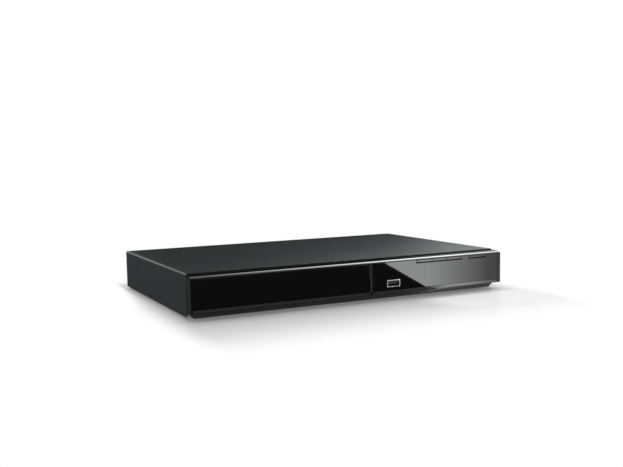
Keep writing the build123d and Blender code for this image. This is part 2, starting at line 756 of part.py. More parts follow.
with BuildPart() as loader_frame:
    with BuildSketch(Plane.XY.offset(frame_low_z)):
        with Locations((loader_x, frame_front_y)):
            Rectangle(
                2 * frame_half, frame_back_y - frame_front_y, align=(Align.CENTER, Align.MIN)
            )
        with Locations((loader_x, frame_front_y + frame_wall)):
            Rectangle(
                2 * (frame_half - frame_wall),
                frame_back_y - frame_front_y - 2 * frame_wall,
                align=(Align.CENTER, Align.MIN),
                mode=Mode.SUBTRACT,
            )
    extrude(amount=frame_top_z - frame_low_z)
    # the front wall stays below the tray, and the rear wall too
    for wall_y in (frame_front_y, frame_back_y):
        with Locations((loader_x, wall_y, ledge_z)):
            Box(
                2 * (frame_half - frame_wall),
                4 * frame_wall,
                20.0,
                align=LOW,
                mode=Mode.SUBTRACT,
            )
    # way for the rack through the front wall
    with Locations((rack_x, frame_front_y, rack_low_z - rack_clearance)):
        Box(
            2 * (rack_back + rack_clearance),
            4 * frame_wall,
            20.0,
            align=LOW,
            mode=Mode.SUBTRACT,
        )
    for side in (-1, 1):
        # ledge under the tray's edge
        with Locations((loader_x + side * (frame_half - frame_wall), frame_front_y, ledge_z)):
            Box(
                2 * ledge_reach,
                frame_back_y - frame_front_y,
                2.0,
                align=(Align.CENTER, Align.MIN, Align.MAX),
            )
        # tabs that hold the tray's edge down
        for tab_y in (frame_front_y + 6.0, -58.0, 40.0):
            with Locations((loader_x + side * (frame_half - frame_wall), tab_y, hold_down_z)):
                Box(9.0, 12.0, 1.5, align=LOW)
        # seats of the clamp bridge
        with Locations((loader_x + side * (frame_half - 2.0), disc_y, frame_top_z)):
            Box(4.0, bridge_width, bridge_z - frame_top_z, align=LOW)
        # outer face trimmed where ledges and tabs reached through the wall
        with Locations((loader_x + side * frame_half, 0, frame_low_z)):
            Box(
                12.0,
                frame_back_y - frame_front_y + 40,
                40.0,
                align=(Align.MIN if side > 0 else Align.MAX, Align.CENTER, Align.MIN),
                mode=Mode.SUBTRACT,
            )
    # gear deck at the front and shelf at the back
    with Locations((loader_x, deck_front_y, deck_low_z)):
        Box(
            2 * (frame_half - frame_wall),
            beam_back_y - deck_front_y,
            deck_thickness,
            align=(Align.CENTER, Align.MIN, Align.MIN),
        )
    with Locations((loader_x, rear_shelf_y, frame_low_z)):
        Box(
            2 * (frame_half - frame_wall),
            frame_back_y - rear_shelf_y,
            2.0,
            align=(Align.CENTER, Align.MIN, Align.MIN),
        )
    # cross beam that the cam slide runs on, with its groove
    with Locations((loader_x, beam_back_y, frame_low_z)):
        Box(
            2 * (frame_half - frame_wall),
            beam_thickness,
            deck_low_z - frame_low_z,
            align=(Align.CENTER, Align.MAX, Align.MIN),
        )
    with Locations((loader_x, beam_back_y, slide_rib_z)):
        Box(
            2 * (frame_half - frame_wall),
            1.4,
            slide_rib + 0.4,
            align=(Align.CENTER, Align.MAX, Align.CENTER),
            mode=Mode.SUBTRACT,
        )
    # posts of the two gears, and the hole over the motor
    with BuildSketch(Plane.XY.offset(deck_high_z)):
        with Locations((drive_x, gear_y), (pulley_x, gear_y)):
            Circle(post_radius + 1.2)
    extrude(amount=0.3)
    with BuildSketch(Plane.XY.offset(deck_high_z)):
        with Locations((drive_x, gear_y), (pulley_x, gear_y)):
            Circle(post_radius)
    extrude(amount=gear_high_z - deck_high_z)
    with Locations((motor_x, gear_y, deck_low_z)):
        Cylinder(3.2, deck_thickness, align=LOW, mode=Mode.SUBTRACT)
    # ears for the traverse's axle
    for side in (-1, 1):
        with BuildSketch(Plane.YZ.offset(loader_x + side * ear_x)):
            with Locations((hinge_y, hinge_z)):
                Circle(4.2)
                Rectangle(8.4, hinge_z - frame_low_z, align=(Align.CENTER, Align.MAX))
                Circle(post_radius + running_gap, mode=Mode.SUBTRACT)
        extrude(amount=side * ear_thickness)
    # feet outside the walls, over the chassis bosses
    for screw_x, screw_y in loader_screws:
        side = 1 if screw_x > loader_x else -1
        with BuildSketch(Plane.XY.offset(frame_low_z)):
            with Locations((screw_x, screw_y)):
                Circle(4.0)
            with Locations((loader_x + side * (frame_half - 0.5), screw_y)):
                Rectangle(
                    4.5, 8.0, align=(Align.MIN if side > 0 else Align.MAX, Align.CENTER)
                )
            with Locations((screw_x, screw_y)):
                Circle(1.7, mode=Mode.SUBTRACT)
        extrude(amount=2.4)

loader_frame.part.label = "loader_frame"
export_step(loader_frame.part, "parts/loader_frame.step")

clamp_hole = 10.0
clamp_low_z = 26.7

with BuildPart() as clamp_bridge:
    with BuildSketch(Plane.XY.offset(bridge_z)):
        with Locations((loader_x, disc_y)):
            Rectangle(2 * frame_half, bridge_width)
            Circle(22.0)
            Circle(clamp_hole + 0.8, mode=Mode.SUBTRACT)
        with Locations((loader_x, disc_y)):
            with GridLocations(80.0, 18.0, 2, 2):
                SlotOverall(26.0, 7.0, mode=Mode.SUBTRACT)
            with GridLocations(2 * frame_half - 4.0, 26.0, 2, 2):
                Circle(screw_hole, mode=Mode.SUBTRACT)
    extrude(amount=bridge_thickness)

clamp_bridge.part.label = "clamp_bridge"
export_step(clamp_bridge.part, "parts/clamp_bridge.step")

with BuildPart() as disc_clamper:
    with BuildSketch(Plane.XZ.offset(-disc_y)):
        with BuildLine():
            flange_z = bridge_z + bridge_thickness + 0.2
            Polyline(
                (loader_x, clamp_low_z + 1.6),
                (loader_x + 8.2, clamp_low_z + 1.6),
                (loader_x + 9.0, clamp_low_z),
                (loader_x + 14.5, clamp_low_z),
                (loader_x + 15.0, clamp_low_z + 0.5),
                (loader_x + 15.0, bridge_z - 0.4),
                (loader_x + clamp_hole, bridge_z - 0.4),
                (loader_x + clamp_hole, flange_z),
                (loader_x + 13.5, flange_z),
                (loader_x + 13.5, flange_z + 1.4),
                (loader_x + 7.0, flange_z + 2.2),
                (loader_x, flange_z + 2.2),
                close=True,
            )
        make_face()
    revolve(axis=Axis((loader_x, disc_y, 0), (0, 0, 1)))

disc_clamper.part.label = "disc_clamper"
export_step(disc_clamper.part, "parts/disc_clamper.step")

# ---------------------------------------------------------------- tray drive

motor_low_z = floor_z + 0.9
shaft_radius = 1.0

with BuildPart() as loading_motor:
    with Locations((motor_x, gear_y, motor_low_z)):
        Cylinder(motor_radius, deck_low_z - motor_low_z, align=LOW)
    fillet(loading_motor.edges().filter_by(GeomType.CIRCLE), 0.8)
    with Locations((motor_x, gear_y, deck_low_z)):
        Cylinder(3.0, 1.2, align=LOW)
        Cylinder(
            shaft_radius + running_gap,
            6.0,
            align=(Align.CENTER, Align.CENTER, Align.CENTER),
            mode=Mode.SUBTRACT,
        )

loading_motor.part.label = "loading_motor"
export_step(loading_motor.part, "parts/loading_motor.step")

belt_z = deck_high_z + 1.4

with BuildPart() as motor_pulley:
    with BuildSketch(Plane.XZ.offset(-gear_y)):
        with BuildLine():
            low_z = deck_high_z + 0.3
            high_z = belt_z + 1.1
            Polyline(
                (motor_x, low_z),
                (motor_x + motor_pulley_radius + 0.8, low_z),
                (motor_x + motor_pulley_radius, belt_z - 0.7),
                (motor_x + motor_pulley_radius, belt_z + 0.7),
                (motor_x + motor_pulley_radius + 0.8, high_z),
                (motor_x, high_z),
                close=True,
            )
        make_face()
    revolve(axis=Axis((motor_x, gear_y, 0), (0, 0, 1)))
    with Locations((motor_x, gear_y, deck_low_z - 2.5)):
        Cylinder(shaft_radius, high_z - deck_low_z + 3.3, align=LOW)

motor_pulley.part.label = "motor_pulley"
export_step(motor_pulley.part, "parts/motor_pulley.step")

with BuildPart() as pulley_gear:
    with BuildSketch(Plane.XZ.offset(-gear_y)):
        with BuildLine():
            low_z = deck_high_z + 0.35
            high_z = belt_z + 1.1
            Polyline(
                (pulley_x, low_z),
                (pulley_x + pulley_radius + 0.8, low_z),
                (pulley_x + pulley_radius, belt_z - 0.7),
                (pulley_x + pulley_radius, belt_z + 0.7),
                (pulley_x + pulley_radius + 0.8, high_z),
                (pulley_x, high_z),
                close=True,
            )
        make_face()
    revolve(axis=Axis((pulley_x, gear_y, 0), (0, 0, 1)))
    with BuildSketch(Plane.XY.offset(high_z)):
        with Locations((pulley_x, gear_y)):
            gear_face(pinion_teeth, 180 / pinion_teeth)
    extrude(amount=gear_high_z - high_z)
    with BuildSketch(Plane.XY.offset(deck_high_z)):
        with Locations((pulley_x, gear_y)):
            Circle(post_radius + running_gap)
    extrude(amount=gear_high_z - deck_high_z, mode=Mode.SUBTRACT)

pulley_gear.part.label = "pulley_gear"
export_step(pulley_gear.part, "parts/pulley_gear.step")

with BuildPart() as drive_gear:
    with BuildSketch(Plane.XY.offset(gear_low_z)):
        with Locations((drive_x, gear_y)):
            gear_face(drive_teeth, 0)
            with PolarLocations(7.0, 5):
                Circle(1.9, mode=Mode.SUBTRACT)
    extrude(amount=gear_high_z - gear_low_z)
    with Locations((drive_x, gear_y, deck_high_z + 0.35)):
        Cylinder(3.0, gear_low_z - deck_high_z - 0.35, align=LOW)
        Cylinder(post_radius + running_gap, 10.0, align=LOW, mode=Mode.SUBTRACT)

drive_gear.part.label = "drive_gear"
export_step(drive_gear.part, "parts/drive_gear.step")

with BuildPart() as drive_belt:
    with BuildSketch(Plane.XY.offset(belt_z - belt_size / 2)) as belt_loop:
        with BuildLine():
            CenterArc((motor_x, gear_y), motor_pulley_radius + running_gap, 0, 360)
            CenterArc((pulley_x, gear_y), pulley_radius + running_gap, 0, 360)
        make_hull()
        inner = belt_loop.faces()[0]
        offset(inner, amount=belt_size, mode=Mode.REPLACE)
        add(inner, mode=Mode.SUBTRACT)
    extrude(amount=belt_size)

drive_belt.part.label = "drive_belt"
export_step(drive_belt.part, "parts/drive_belt.step")


# ---------------------------------------------------------------- traverse

ring_half = 48.0
ring_side = 5.0
ring_low_z = 12.8
ring_high_z = 14.6
ring_front = -54.0 - hinge_y
deck_low = 15.6
deck_high = 16.8
deck_half = 31.0
deck_front = -50.0 - hinge_y
deck_back = 63.5 - hinge_y
damper_places = [
    (side * 39.0, y - hinge_y) for side in (-1, 1) for y in (-44.0, 63.2)
]
cam_pin_z = 15.7
cam_pin_xs = (-20.0, 20.0)
axle_reach = ear_x + ear_thickness - 0.4
sled_window_half = 23.0
sled_window_front = -8.5 - hinge_y
sled_window_back = 60.0 - hinge_y
rod_x = 27.0
rod_z = 18.3
rod_front = -12.0 - hinge_y
screw_x = 37.0
screw_z = 14.6
lead_radius = 1.5

with BuildPart() as lift_frame:
    with BuildSketch(level(ring_low_z)):
        with Locations((0, ring_front)):
            Rectangle(2 * ring_half, -ring_front + 2.0, align=(Align.CENTER, Align.MIN))
        with Locations((0, ring_front + ring_side)):
            Rectangle(
                2 * (ring_half - ring_side),
                -ring_front - 2 * ring_side,
                align=(Align.CENTER, Align.MIN),
                mode=Mode.SUBTRACT,
            )
        # lugs for the dampers
        with Locations(*damper_places):
            RectangleRounded(14.0, 9.0, 2.0)
        with Locations(*damper_places):
            Circle(1.6, mode=Mode.SUBTRACT)
    extrude(amount=ring_high_z - ring_low_z)
    # side rims that stiffen the ring
    with BuildSketch(level(ring_high_z)):
        with GridLocations(2 * ring_half - 1.6, 0, 2, 1):
            with Locations((0, ring_front)):
                Rectangle(1.6, -ring_front, align=(Align.CENTER, Align.MIN))
    extrude(amount=1.2)
    # axle stubs at the back
    with BuildSketch(
        Plane(traverse.origin, x_dir=(0, 1, 0), z_dir=(1, 0, 0)).offset(-axle_reach)
    ):
        Circle(post_radius)
    extrude(amount=axle_reach - ring_half + 4.0)
    with BuildSketch(
        Plane(traverse.origin, x_dir=(0, 1, 0), z_dir=(1, 0, 0)).offset(axle_reach)
    ):
        Circle(post_radius)
    extrude(amount=-(axle_reach - ring_half + 4.0))
    # cam pins on upstands at the front
    with BuildSketch(level(ring_low_z)):
        with Locations(*[(x, ring_front + 1.2) for x in cam_pin_xs]):
            Rectangle(7.0, 2.4)
    extrude(amount=cam_pin_z + 2.2 - ring_low_z)
    front_face = Plane(
        origin=traverse.from_local_coords((0, ring_front, cam_pin_z - hinge_z)),
        x_dir=(1, 0, 0),
        z_dir=-traverse.y_dir,
    )
    with BuildSketch(front_face):
        with Locations(*[(x, 0) for x in cam_pin_xs]):
            Circle(cam_pin_radius)
    extrude(amount=5.2)

lift_frame.part.label = "lift_frame"
export_step(lift_frame.part, "parts/lift_frame.step")

with BuildPart() as traverse_deck:
    with BuildSketch(level(deck_low)):
        with Locations((0, deck_front)):
            Rectangle(2 * deck_half, deck_back - deck_front, align=(Align.CENTER, Align.MIN))
        with Locations(*damper_places):
            RectangleRounded(14.0, 9.0, 2.0)
        # window that the sled reaches down through
        with Locations((0, sled_window_front)):
            Rectangle(
                2 * sled_window_half,
                sled_window_back - sled_window_front,
                align=(Align.CENTER, Align.MIN),
                mode=Mode.SUBTRACT,
            )
        with Locations((0, spindle_y)):
            Circle(4.6, mode=Mode.SUBTRACT)
        with Locations(*damper_places):
            Circle(2.6, mode=Mode.SUBTRACT)
    extrude(amount=deck_high - deck_low)
    # blocks that hold the guide rods
    with BuildSketch(level(deck_high)):
        for block_y in (rod_front, sled_window_back + 0.1):
            with Locations((-rod_x, block_y), (rod_x, block_y)):
                Rectangle(6.4, 3.2, align=(Align.CENTER, Align.MIN))
    extrude(amount=rod_z + 1.4 - deck_high)
    # lug for the front of the lead screw
    with BuildSketch(level(screw_z - 2.6)):
        with Locations((deck_half - 1.0, rod_front)):
            Rectangle(screw_x + 2.6 - deck_half + 1.0, 3.0, align=(Align.MIN, Align.MIN))
    extrude(amount=deck_high - screw_z + 2.6)
    # holes for the rods and the screw
    end_face = Plane(
        origin=traverse.from_local_coords((0, rod_front - 1.0, 0)),
        x_dir=(1, 0, 0),
        z_dir=-traverse.y_dir,
    )
    with BuildSketch(end_face):
        with Locations((-rod_x, rod_z - hinge_z), (rod_x, rod_z - hinge_z)):
            Circle(rod_radius)
    extrude(amount=-90.0, mode=Mode.SUBTRACT)
    with BuildSketch(end_face):
        with Locations((screw_x, screw_z - hinge_z)):
            Circle(lead_radius + running_gap)
    extrude(amount=-10.0, mode=Mode.SUBTRACT)

traverse_deck.part.label = "traverse_deck"
export_step(traverse_deck.part, "parts/traverse_deck.step")

with BuildPart() as dampers:
    with BuildSketch(level(ring_high_z)):
        with Locations(*damper_places):
            Circle(3.6)
            Circle(1.55, mode=Mode.SUBTRACT)
    extrude(amount=deck_low - ring_high_z)
    with BuildSketch(level(deck_low)):
        with Locations(*damper_places):
            Circle(2.6)
            Circle(1.55, mode=Mode.SUBTRACT)
    extrude(amount=deck_high - deck_low)
    with BuildSketch(level(deck_high)):
        with Locations(*damper_places):
            Circle(3.6)
            Circle(1.55, mode=Mode.SUBTRACT)
    extrude(amount=0.8)

dampers.part.label = "dampers"
export_step(dampers.part, "parts/dampers.step")

with BuildPart() as damper_screws:
    with BuildSketch(level(ring_low_z)):
        with Locations(*damper_places):
            Circle(1.5)
    extrude(amount=deck_high + 0.8 - ring_low_z)
    with BuildSketch(level(deck_high + 0.8)):
        with Locations(*damper_places):
            Circle(3.2)
    extrude(amount=1.2)
    with BuildSketch(level(deck_high + 2.0)):
        with Locations(*damper_places):
            Rectangle(2.6, 0.6)
            Rectangle(0.6, 2.6)
    extrude(amount=-0.7, mode=Mode.SUBTRACT)

damper_screws.part.label = "damper_screws"
export_step(damper_screws.part, "parts/damper_screws.step")

motor_can = 11.0
spindle_low = deck_low - 3.4

with BuildPart() as spindle_motor:
    with BuildSketch(level(deck_high)):
        with Locations((0, spindle_y)):
            Rectangle(30.0, 27.0)
            Circle(shaft_radius + running_gap, mode=Mode.SUBTRACT)
    extrude(amount=0.8)
    with BuildSketch(level(deck_high + 0.8)):
        with Locations((0, spindle_y)):
            Circle(motor_can)
            Circle(shaft_radius + running_gap, mode=Mode.SUBTRACT)
    extrude(amount=3.0)
    with BuildSketch(level(deck_high)):
        with Locations((0, spindle_y)):
            Circle(4.0)
            Circle(shaft_radius + running_gap, mode=Mode.SUBTRACT)
    extrude(amount=-(deck_high - spindle_low))

spindle_motor.part.label = "spindle_motor"
export_step(spindle_motor.part, "parts/spindle_motor.step")

seat_low = deck_high + 0.8 + 3.0 + 0.4

with BuildPart() as turntable:
    with BuildSketch(level(seat_low)):
        with Locations((0, spindle_y)):
            Circle(turntable_radius - 1.5)
    extrude(amount=turntable_z - 0.6 - seat_low, taper=-24)
    with BuildSketch(level(turntable_z - 0.6)):
        with Locations((0, spindle_y)):
            Circle(turntable_radius)
    extrude(amount=0.6)
    with BuildSketch(level(turntable_z)):
        with Locations((0, spindle_y)):
            Circle(7.4)
    extrude(amount=1.2)
    with BuildSketch(level(turntable_z + 1.2)):
        with Locations((0, spindle_y)):
            Circle(7.4)
    extrude(amount=0.8, taper=40)
    # pockets around the hub, and the shaft below it
    with BuildSketch(level(turntable_z + 2.0)):
        with Locations((0, spindle_y)):
            with PolarLocations(4.4, 3):
                RectangleRounded(2.6, 1.8, 0.4)
    extrude(amount=-1.2, mode=Mode.SUBTRACT)
    with BuildSketch(level(seat_low)):
        with Locations((0, spindle_y)):
            Circle(shaft_radius)
    extrude(amount=-(seat_low - spindle_low - 0.6))

turntable.part.label = "turntable"
export_step(turntable.part, "parts/turntable.step")

rod_plane = Plane(
    origin=traverse.from_local_coords((0, rod_front, 0)),
    x_dir=(1, 0, 0),
    z_dir=-traverse.y_dir,
)
rod_length = sled_window_back + 3.3 - rod_front

with BuildPart() as guide_rods:
    with BuildSketch(rod_plane):
        with Locations((-rod_x, rod_z - hinge_z), (rod_x, rod_z - hinge_z)):
            Circle(rod_radius)
    extrude(amount=-rod_length)

guide_rods.part.label = "guide_rods"
export_step(guide_rods.part, "parts/guide_rods.step")

lens_y = -2.5 - hinge_y  # nearest the spindle
sled_front = lens_y - 5.4
sled_length = 30.0
sled_low = 12.6
sled_top = 19.9
sled_plate_low = 17.1
sled_half = 31.0

with BuildPart() as pickup_sled:
    with BuildSketch(level(sled_plate_low)):
        with Locations((0, sled_front)):
            Rectangle(2 * sled_half, sled_length, align=(Align.CENTER, Align.MIN))
        # nose cut away round the spindle motor
        with Locations((-rod_x + 3.2, sled_front), (rod_x - 3.2, sled_front)):
            Rectangle(3.0, 6.0, mode=Mode.SUBTRACT)
    extrude(amount=sled_top - sled_plate_low)
    with BuildSketch(level(sled_plate_low)):
        with Locations((0, sled_front + 1.0)):
            Rectangle(40.0, sled_length - 4.0, align=(Align.CENTER, Align.MIN))
    extrude(amount=-(sled_plate_low - sled_low))
    fillet(
        pickup_sled.edges().filter_by(lambda e: abs(e.length - (sled_plate_low - sled_low)) < 0.01),
        1.5,
    )
    # hollow underneath for the optics
    with BuildSketch(level(sled_low)):
        with Locations((0, sled_front + 3.0)):
            Rectangle(34.0, sled_length - 8.0, align=(Align.CENTER, Align.MIN))
    extrude(amount=4.6, mode=Mode.SUBTRACT)
    # arm with the half nut on the lead screw
    with BuildSketch(level(screw_z - 2.6)):
        with Locations((sled_half - 3.0, sled_front + 10.0)):
            Rectangle(
                screw_x + 2.2 - sled_half + 3.0, 9.0, align=(Align.MIN, Align.MIN)
            )
        with Locations((sled_half - 3.0, sled_front + 10.0)):
            Rectangle(5.0, 9.0, align=(Align.MIN, Align.MIN), mode=Mode.SUBTRACT)
    extrude(amount=sled_top - screw_z + 2.6)
    with BuildSketch(level(sled_plate_low)):
        with Locations((sled_half - 3.0, sled_front + 10.0)):
            Rectangle(6.0, 9.0, align=(Align.MIN, Align.MIN))
    extrude(amount=sled_top - sled_plate_low)
    # bores: round for the right rod, open below for the left one
    sled_end = Plane(
        origin=traverse.from_local_coords((0, sled_front - 1.0, 0)),
        x_dir=(1, 0, 0),
        z_dir=-traverse.y_dir,
    )
    with BuildSketch(sled_end):
        with Locations((rod_x, rod_z - hinge_z), (-rod_x, rod_z - hinge_z)):
            Circle(rod_radius + running_gap)
        with Locations((-rod_x, rod_z - hinge_z)):
            Rectangle(
                2 * (rod_radius + running_gap), 4.0, align=(Align.CENTER, Align.MAX)
            )
        with Locations((screw_x, screw_z - hinge_z)):
            Circle(lead_radius + running_gap)
    extrude(amount=-(sled_length + 2.0), mode=Mode.SUBTRACT)

pickup_sled.part.label = "pickup_sled"
export_step(pickup_sled.part, "parts/pickup_sled.step")

with BuildPart() as lens_actuator:
    with BuildSketch(level(sled_top)):
        with Locations((0, lens_y + 3.0)):
            RectangleRounded(17.0, 15.0, 2.0)
    extrude(amount=1.2)
    with BuildSketch(level(sled_top + 1.2)):
        with Locations((0, lens_y)):
            Circle(4.2)
            Circle(2.4, mode=Mode.SUBTRACT)
    extrude(amount=1.6)

lens_actuator.part.label = "lens_actuator"
export_step(lens_actuator.part, "parts/lens_actuator.step")

with BuildPart() as objective_lens:
    with BuildSketch(level(sled_top + 1.2)):
        with Locations((0, lens_y)):
            Circle(2.4)
    extrude(amount=1.5)
    fillet(objective_lens.edges().filter_by(GeomType.CIRCLE).sort_by(Axis.Z)[-1], 0.9)

objective_lens.part.label = "objective_lens"
export_step(objective_lens.part, "parts/objective_lens.step")

sled_motor_radius = 5.4
sled_motor_front = 44.5 - hinge_y
sled_motor_length = 13.0

with BuildPart() as sled_motor:
    with BuildSketch(
        Plane(
            origin=traverse.from_local_coords((0, sled_motor_front, 0)),
            x_dir=(1, 0, 0),
            z_dir=-traverse.y_dir,
        )
    ):
        with Locations((screw_x, screw_z - hinge_z)):
            Circle(sled_motor_radius)
            Circle(lead_radius + running_gap, mode=Mode.SUBTRACT)
    extrude(amount=-sled_motor_length)

sled_motor.part.label = "sled_motor"
export_step(sled_motor.part, "parts/sled_motor.step")

with BuildPart() as lead_screw:
    with BuildSketch(rod_plane):
        with Locations((screw_x, screw_z - hinge_z)):
            Circle(lead_radius)
    extrude(amount=-(sled_motor_front + 8.0 - rod_front))

lead_screw.part.label = "lead_screw"
export_step(lead_screw.part, "parts/lead_screw.step")

# Cam slide in front of the ring: two sloped slots lift the pins as it moves to the right
pin_rest_z = traverse.from_local_coords((0, ring_front - 3.2, cam_pin_z - hinge_z)).Z
pin_up_z = cam_pin_z
slide_low_z = pin_rest_z - 3.0
slide_high_z = 18.8
slide_thickness = 2.0
slide_half = 38.0
slot_slope = degrees(atan2(pin_up_z - pin_rest_z, -lift_slide))
slot_run = ((pin_up_z - pin_rest_z) ** 2 + lift_slide**2) ** 0.5
slide_front_y = beam_back_y + 0.4

with BuildPart() as cam_slide:
    with BuildSketch(Plane.XZ.offset(-(slide_front_y + slide_thickness))):
        with Locations((loader_x, (slide_low_z + slide_high_z) / 2)):
            RectangleRounded(2 * slide_half, slide_high_z - slide_low_z, 1.0)
        with Locations(
            *[
                (loader_x + x - lift_slide / 2, (pin_rest_z + pin_up_z) / 2)
                for x in cam_pin_xs
            ]
        ):
            SlotCenterToCenter(
                slot_run,
                2 * cam_pin_radius + 0.9,
                rotation=slot_slope,
                mode=Mode.SUBTRACT,
            )
    extrude(amount=slide_thickness)
    # rib in the groove of the beam
    with BuildSketch(Plane.XZ.offset(-slide_front_y)):
        with Locations((loader_x, slide_rib_z)):
            Rectangle(2 * slide_half - 6, slide_rib)
    extrude(amount=1.5)

cam_slide.part.label = "cam_slide"
export_step(cam_slide.part, "parts/cam_slide.step")


# ---------------------------------------------------------------- boards


def board_blank(xs, ys, screws):
    """Board outline in the running sketch, less its own screw holes."""
    with Locations(((xs[0] + xs[1]) / 2, (ys[0] + ys[1]) / 2)):
        Rectangle(xs[1] - xs[0], ys[1] - ys[0])
    with Locations(*screws):
        Circle(screw_hole + 0.3, mode=Mode.SUBTRACT)


with BuildPart() as main_board:
    with BuildSketch(Plane.XY.offset(board_low_z)):
        board_blank(main_board_x, main_board_y, board_screws[:4])
    extrude(amount=board)

main_board.part.label = "main_board"
export_step(main_board.part, "parts/main_board.step")

with BuildPart() as power_board:
    with BuildSketch(Plane.XY.offset(board_low_z)):
        board_blank(power_board_x, power_board_y, board_screws[4:])
    extrude(amount=board)

power_board.part.label = "power_board"
export_step(power_board.part, "parts/power_board.step")

with BuildPart() as chassis_screws:
    with Locations(*[(x, y, board_high_z) for x, y in board_screws]):
        Cylinder(3.0, 1.8, align=LOW)
        Cylinder(1.25, board + 3.4, align=(Align.CENTER, Align.CENTER, Align.MAX))
    with Locations(*[(x, y, frame_low_z + 2.4) for x, y in loader_screws]):
        Cylinder(3.4, 1.8, align=LOW)
        Cylinder(1.25, 2.4 + 3.0, align=(Align.CENTER, Align.CENTER, Align.MAX))

chassis_screws.part.label = "chassis_screws"
export_step(chassis_screws.part, "parts/chassis_screws.step")

with BuildPart() as cover_screws:
    with BuildSketch(Plane.XZ.offset(-cover_back_y)):
        with Locations(*[(x, cover_screw_z) for x in cover_screw_xs]):
            Circle(3.3)
    extrude(amount=-1.9)
    fillet(cover_screws.edges().group_by(Axis.Y)[-1], 1.0)
    with BuildSketch(Plane.XZ.offset(-cover_back_y)):
        with Locations(*[(x, cover_screw_z) for x in cover_screw_xs]):
            Circle(1.25)
    extrude(amount=6.0)
    with BuildSketch(Plane.XZ.offset(-(cover_back_y + 1.9))):
        with Locations(*[(x, cover_screw_z) for x in cover_screw_xs]):
            Rectangle(3.4, 0.7)
            Rectangle(0.7, 3.4)
    extrude(amount=0.9, mode=Mode.SUBTRACT)

cover_screws.part.label = "cover_screws"
export_step(cover_screws.part, "parts/cover_screws.step")


def leaded_chip(middle_x, middle_y, size, leads, lead_pitch):
    """Square package on the main board with a row of leads along each side."""
    with BuildSketch(Plane.XY.offset(board_high_z + 0.1)) as package:
        with Locations((middle_x, middle_y)):
            Rectangle(size, size)
    extrude(package.sketch, amount=1.5)
    with BuildSketch(Plane.XY.offset(board_high_z)) as lead_rows:
        with Locations((middle_x, middle_y)):
            with GridLocations(lead_pitch, 0, leads, 1):
                Rectangle(lead_pitch / 2, size + 3.0)
            with GridLocations(0, lead_pitch, 1, leads):
                Rectangle(size + 3.0, lead_pitch / 2)
    extrude(lead_rows.sketch, amount=0.4)


with BuildPart() as board_chips:
    leaded_chip(52.0, 12.0, 20.0, 16, 1.1)
    leaded_chip(28.0, -22.0, 10.0, 6, 1.4)
    leaded_chip(80.0, 20.0, 9.0, 5, 1.4)
    leaded_chip(52.0, -18.0, 8.0, 5, 1.2)

board_chips.part.label = "board_chips"
export_step(board_chips.part, "parts/board_chips.step")

socket_body = 5.5
ribbon_width = 16.0
ribbon_x = 78.0
ribbon_thickness = 0.3
main_socket_y = -44.0
front_socket_z = 16.0
front_socket_y = front_board_y + board

with BuildPart() as ribbon_sockets:
    with Locations((ribbon_x, main_socket_y, board_high_z)):
        Box(ribbon_width + 4.0, socket_body, 6.0, align=LOW)
        with Locations((0, 0, 2.0)):
            Box(ribbon_width + 0.4, ribbon_thickness + 0.1, 10.0, align=LOW, mode=Mode.SUBTRACT)
    with Locations((ribbon_x, front_socket_y, front_socket_z)):
        Box(
            ribbon_width + 4.0,
            socket_body,
            4.0,
            align=(Align.CENTER, Align.MIN, Align.CENTER),
        )
        with Locations((0, 2.0, 0)):
            Box(
                ribbon_width + 0.4,
                10.0,
                ribbon_thickness + 0.1,
                align=(Align.CENTER, Align.MIN, Align.CENTER),
                mode=Mode.SUBTRACT,
            )

ribbon_sockets.part.label = "ribbon_sockets"
export_step(ribbon_sockets.part, "parts/ribbon_sockets.step")

# Flat cable from the key board, over and down into the main board
with BuildPart() as front_ribbon:
    with BuildSketch(Plane.YZ.offset(ribbon_x - ribbon_width / 2)):
        with BuildLine():
            FilletPolyline(
                (front_socket_y + 2.1, front_socket_z),
                (front_socket_y + 14.0, front_socket_z),
                (front_socket_y + 22.0, front_socket_z + 9.0),
                (main_socket_y, front_socket_z + 7.0),
                (main_socket_y, board_high_z + 2.1),
                radius=4.0,
            )
        trace(line_width=ribbon_thickness)
    extrude(amount=ribbon_width)

front_ribbon.part.label = "front_ribbon"
export_step(front_ribbon.part, "parts/front_ribbon.step")

# ---------------------------------------------------------------- rear sockets

block_face_y = rear_y + 1.0
block_back = 14.0
barrel_wall = 0.5
barrel_seat = 6.0
barrel_root = rca_radius - 0.35  # radius where the barrel sits in the block

with BuildPart() as av_block:
    with Locations(((av_xs[0] + av_xs[2]) / 2, rear_y - sheet, board_high_z)):
        Box(
            av_xs[2] - av_xs[0] + 13.0,
            block_back,
            av_z + 7.0 - board_high_z,
            align=(Align.CENTER, Align.MAX, Align.MIN),
        )
    with Locations((coax_x, rear_y - sheet, board_high_z)):
        Box(
            12.0,
            block_back,
            av_z + 7.0 - board_high_z,
            align=(Align.CENTER, Align.MAX, Align.MIN),
        )
    with BuildSketch(Plane.XZ.offset(-(rear_y - sheet))):
        with Locations(*[(x, av_z) for x in (*av_xs, coax_x)]):
            Circle(rca_hole - 0.15)
    extrude(amount=-(block_face_y - rear_y + sheet))
    with BuildSketch(Plane.XZ.offset(-block_face_y)):
        with Locations(*[(x, av_z) for x in (*av_xs, coax_x)]):
            Circle(barrel_root)
    extrude(amount=barrel_seat, mode=Mode.SUBTRACT)

av_block.part.label = "av_block"
export_step(av_block.part, "parts/av_block.step")

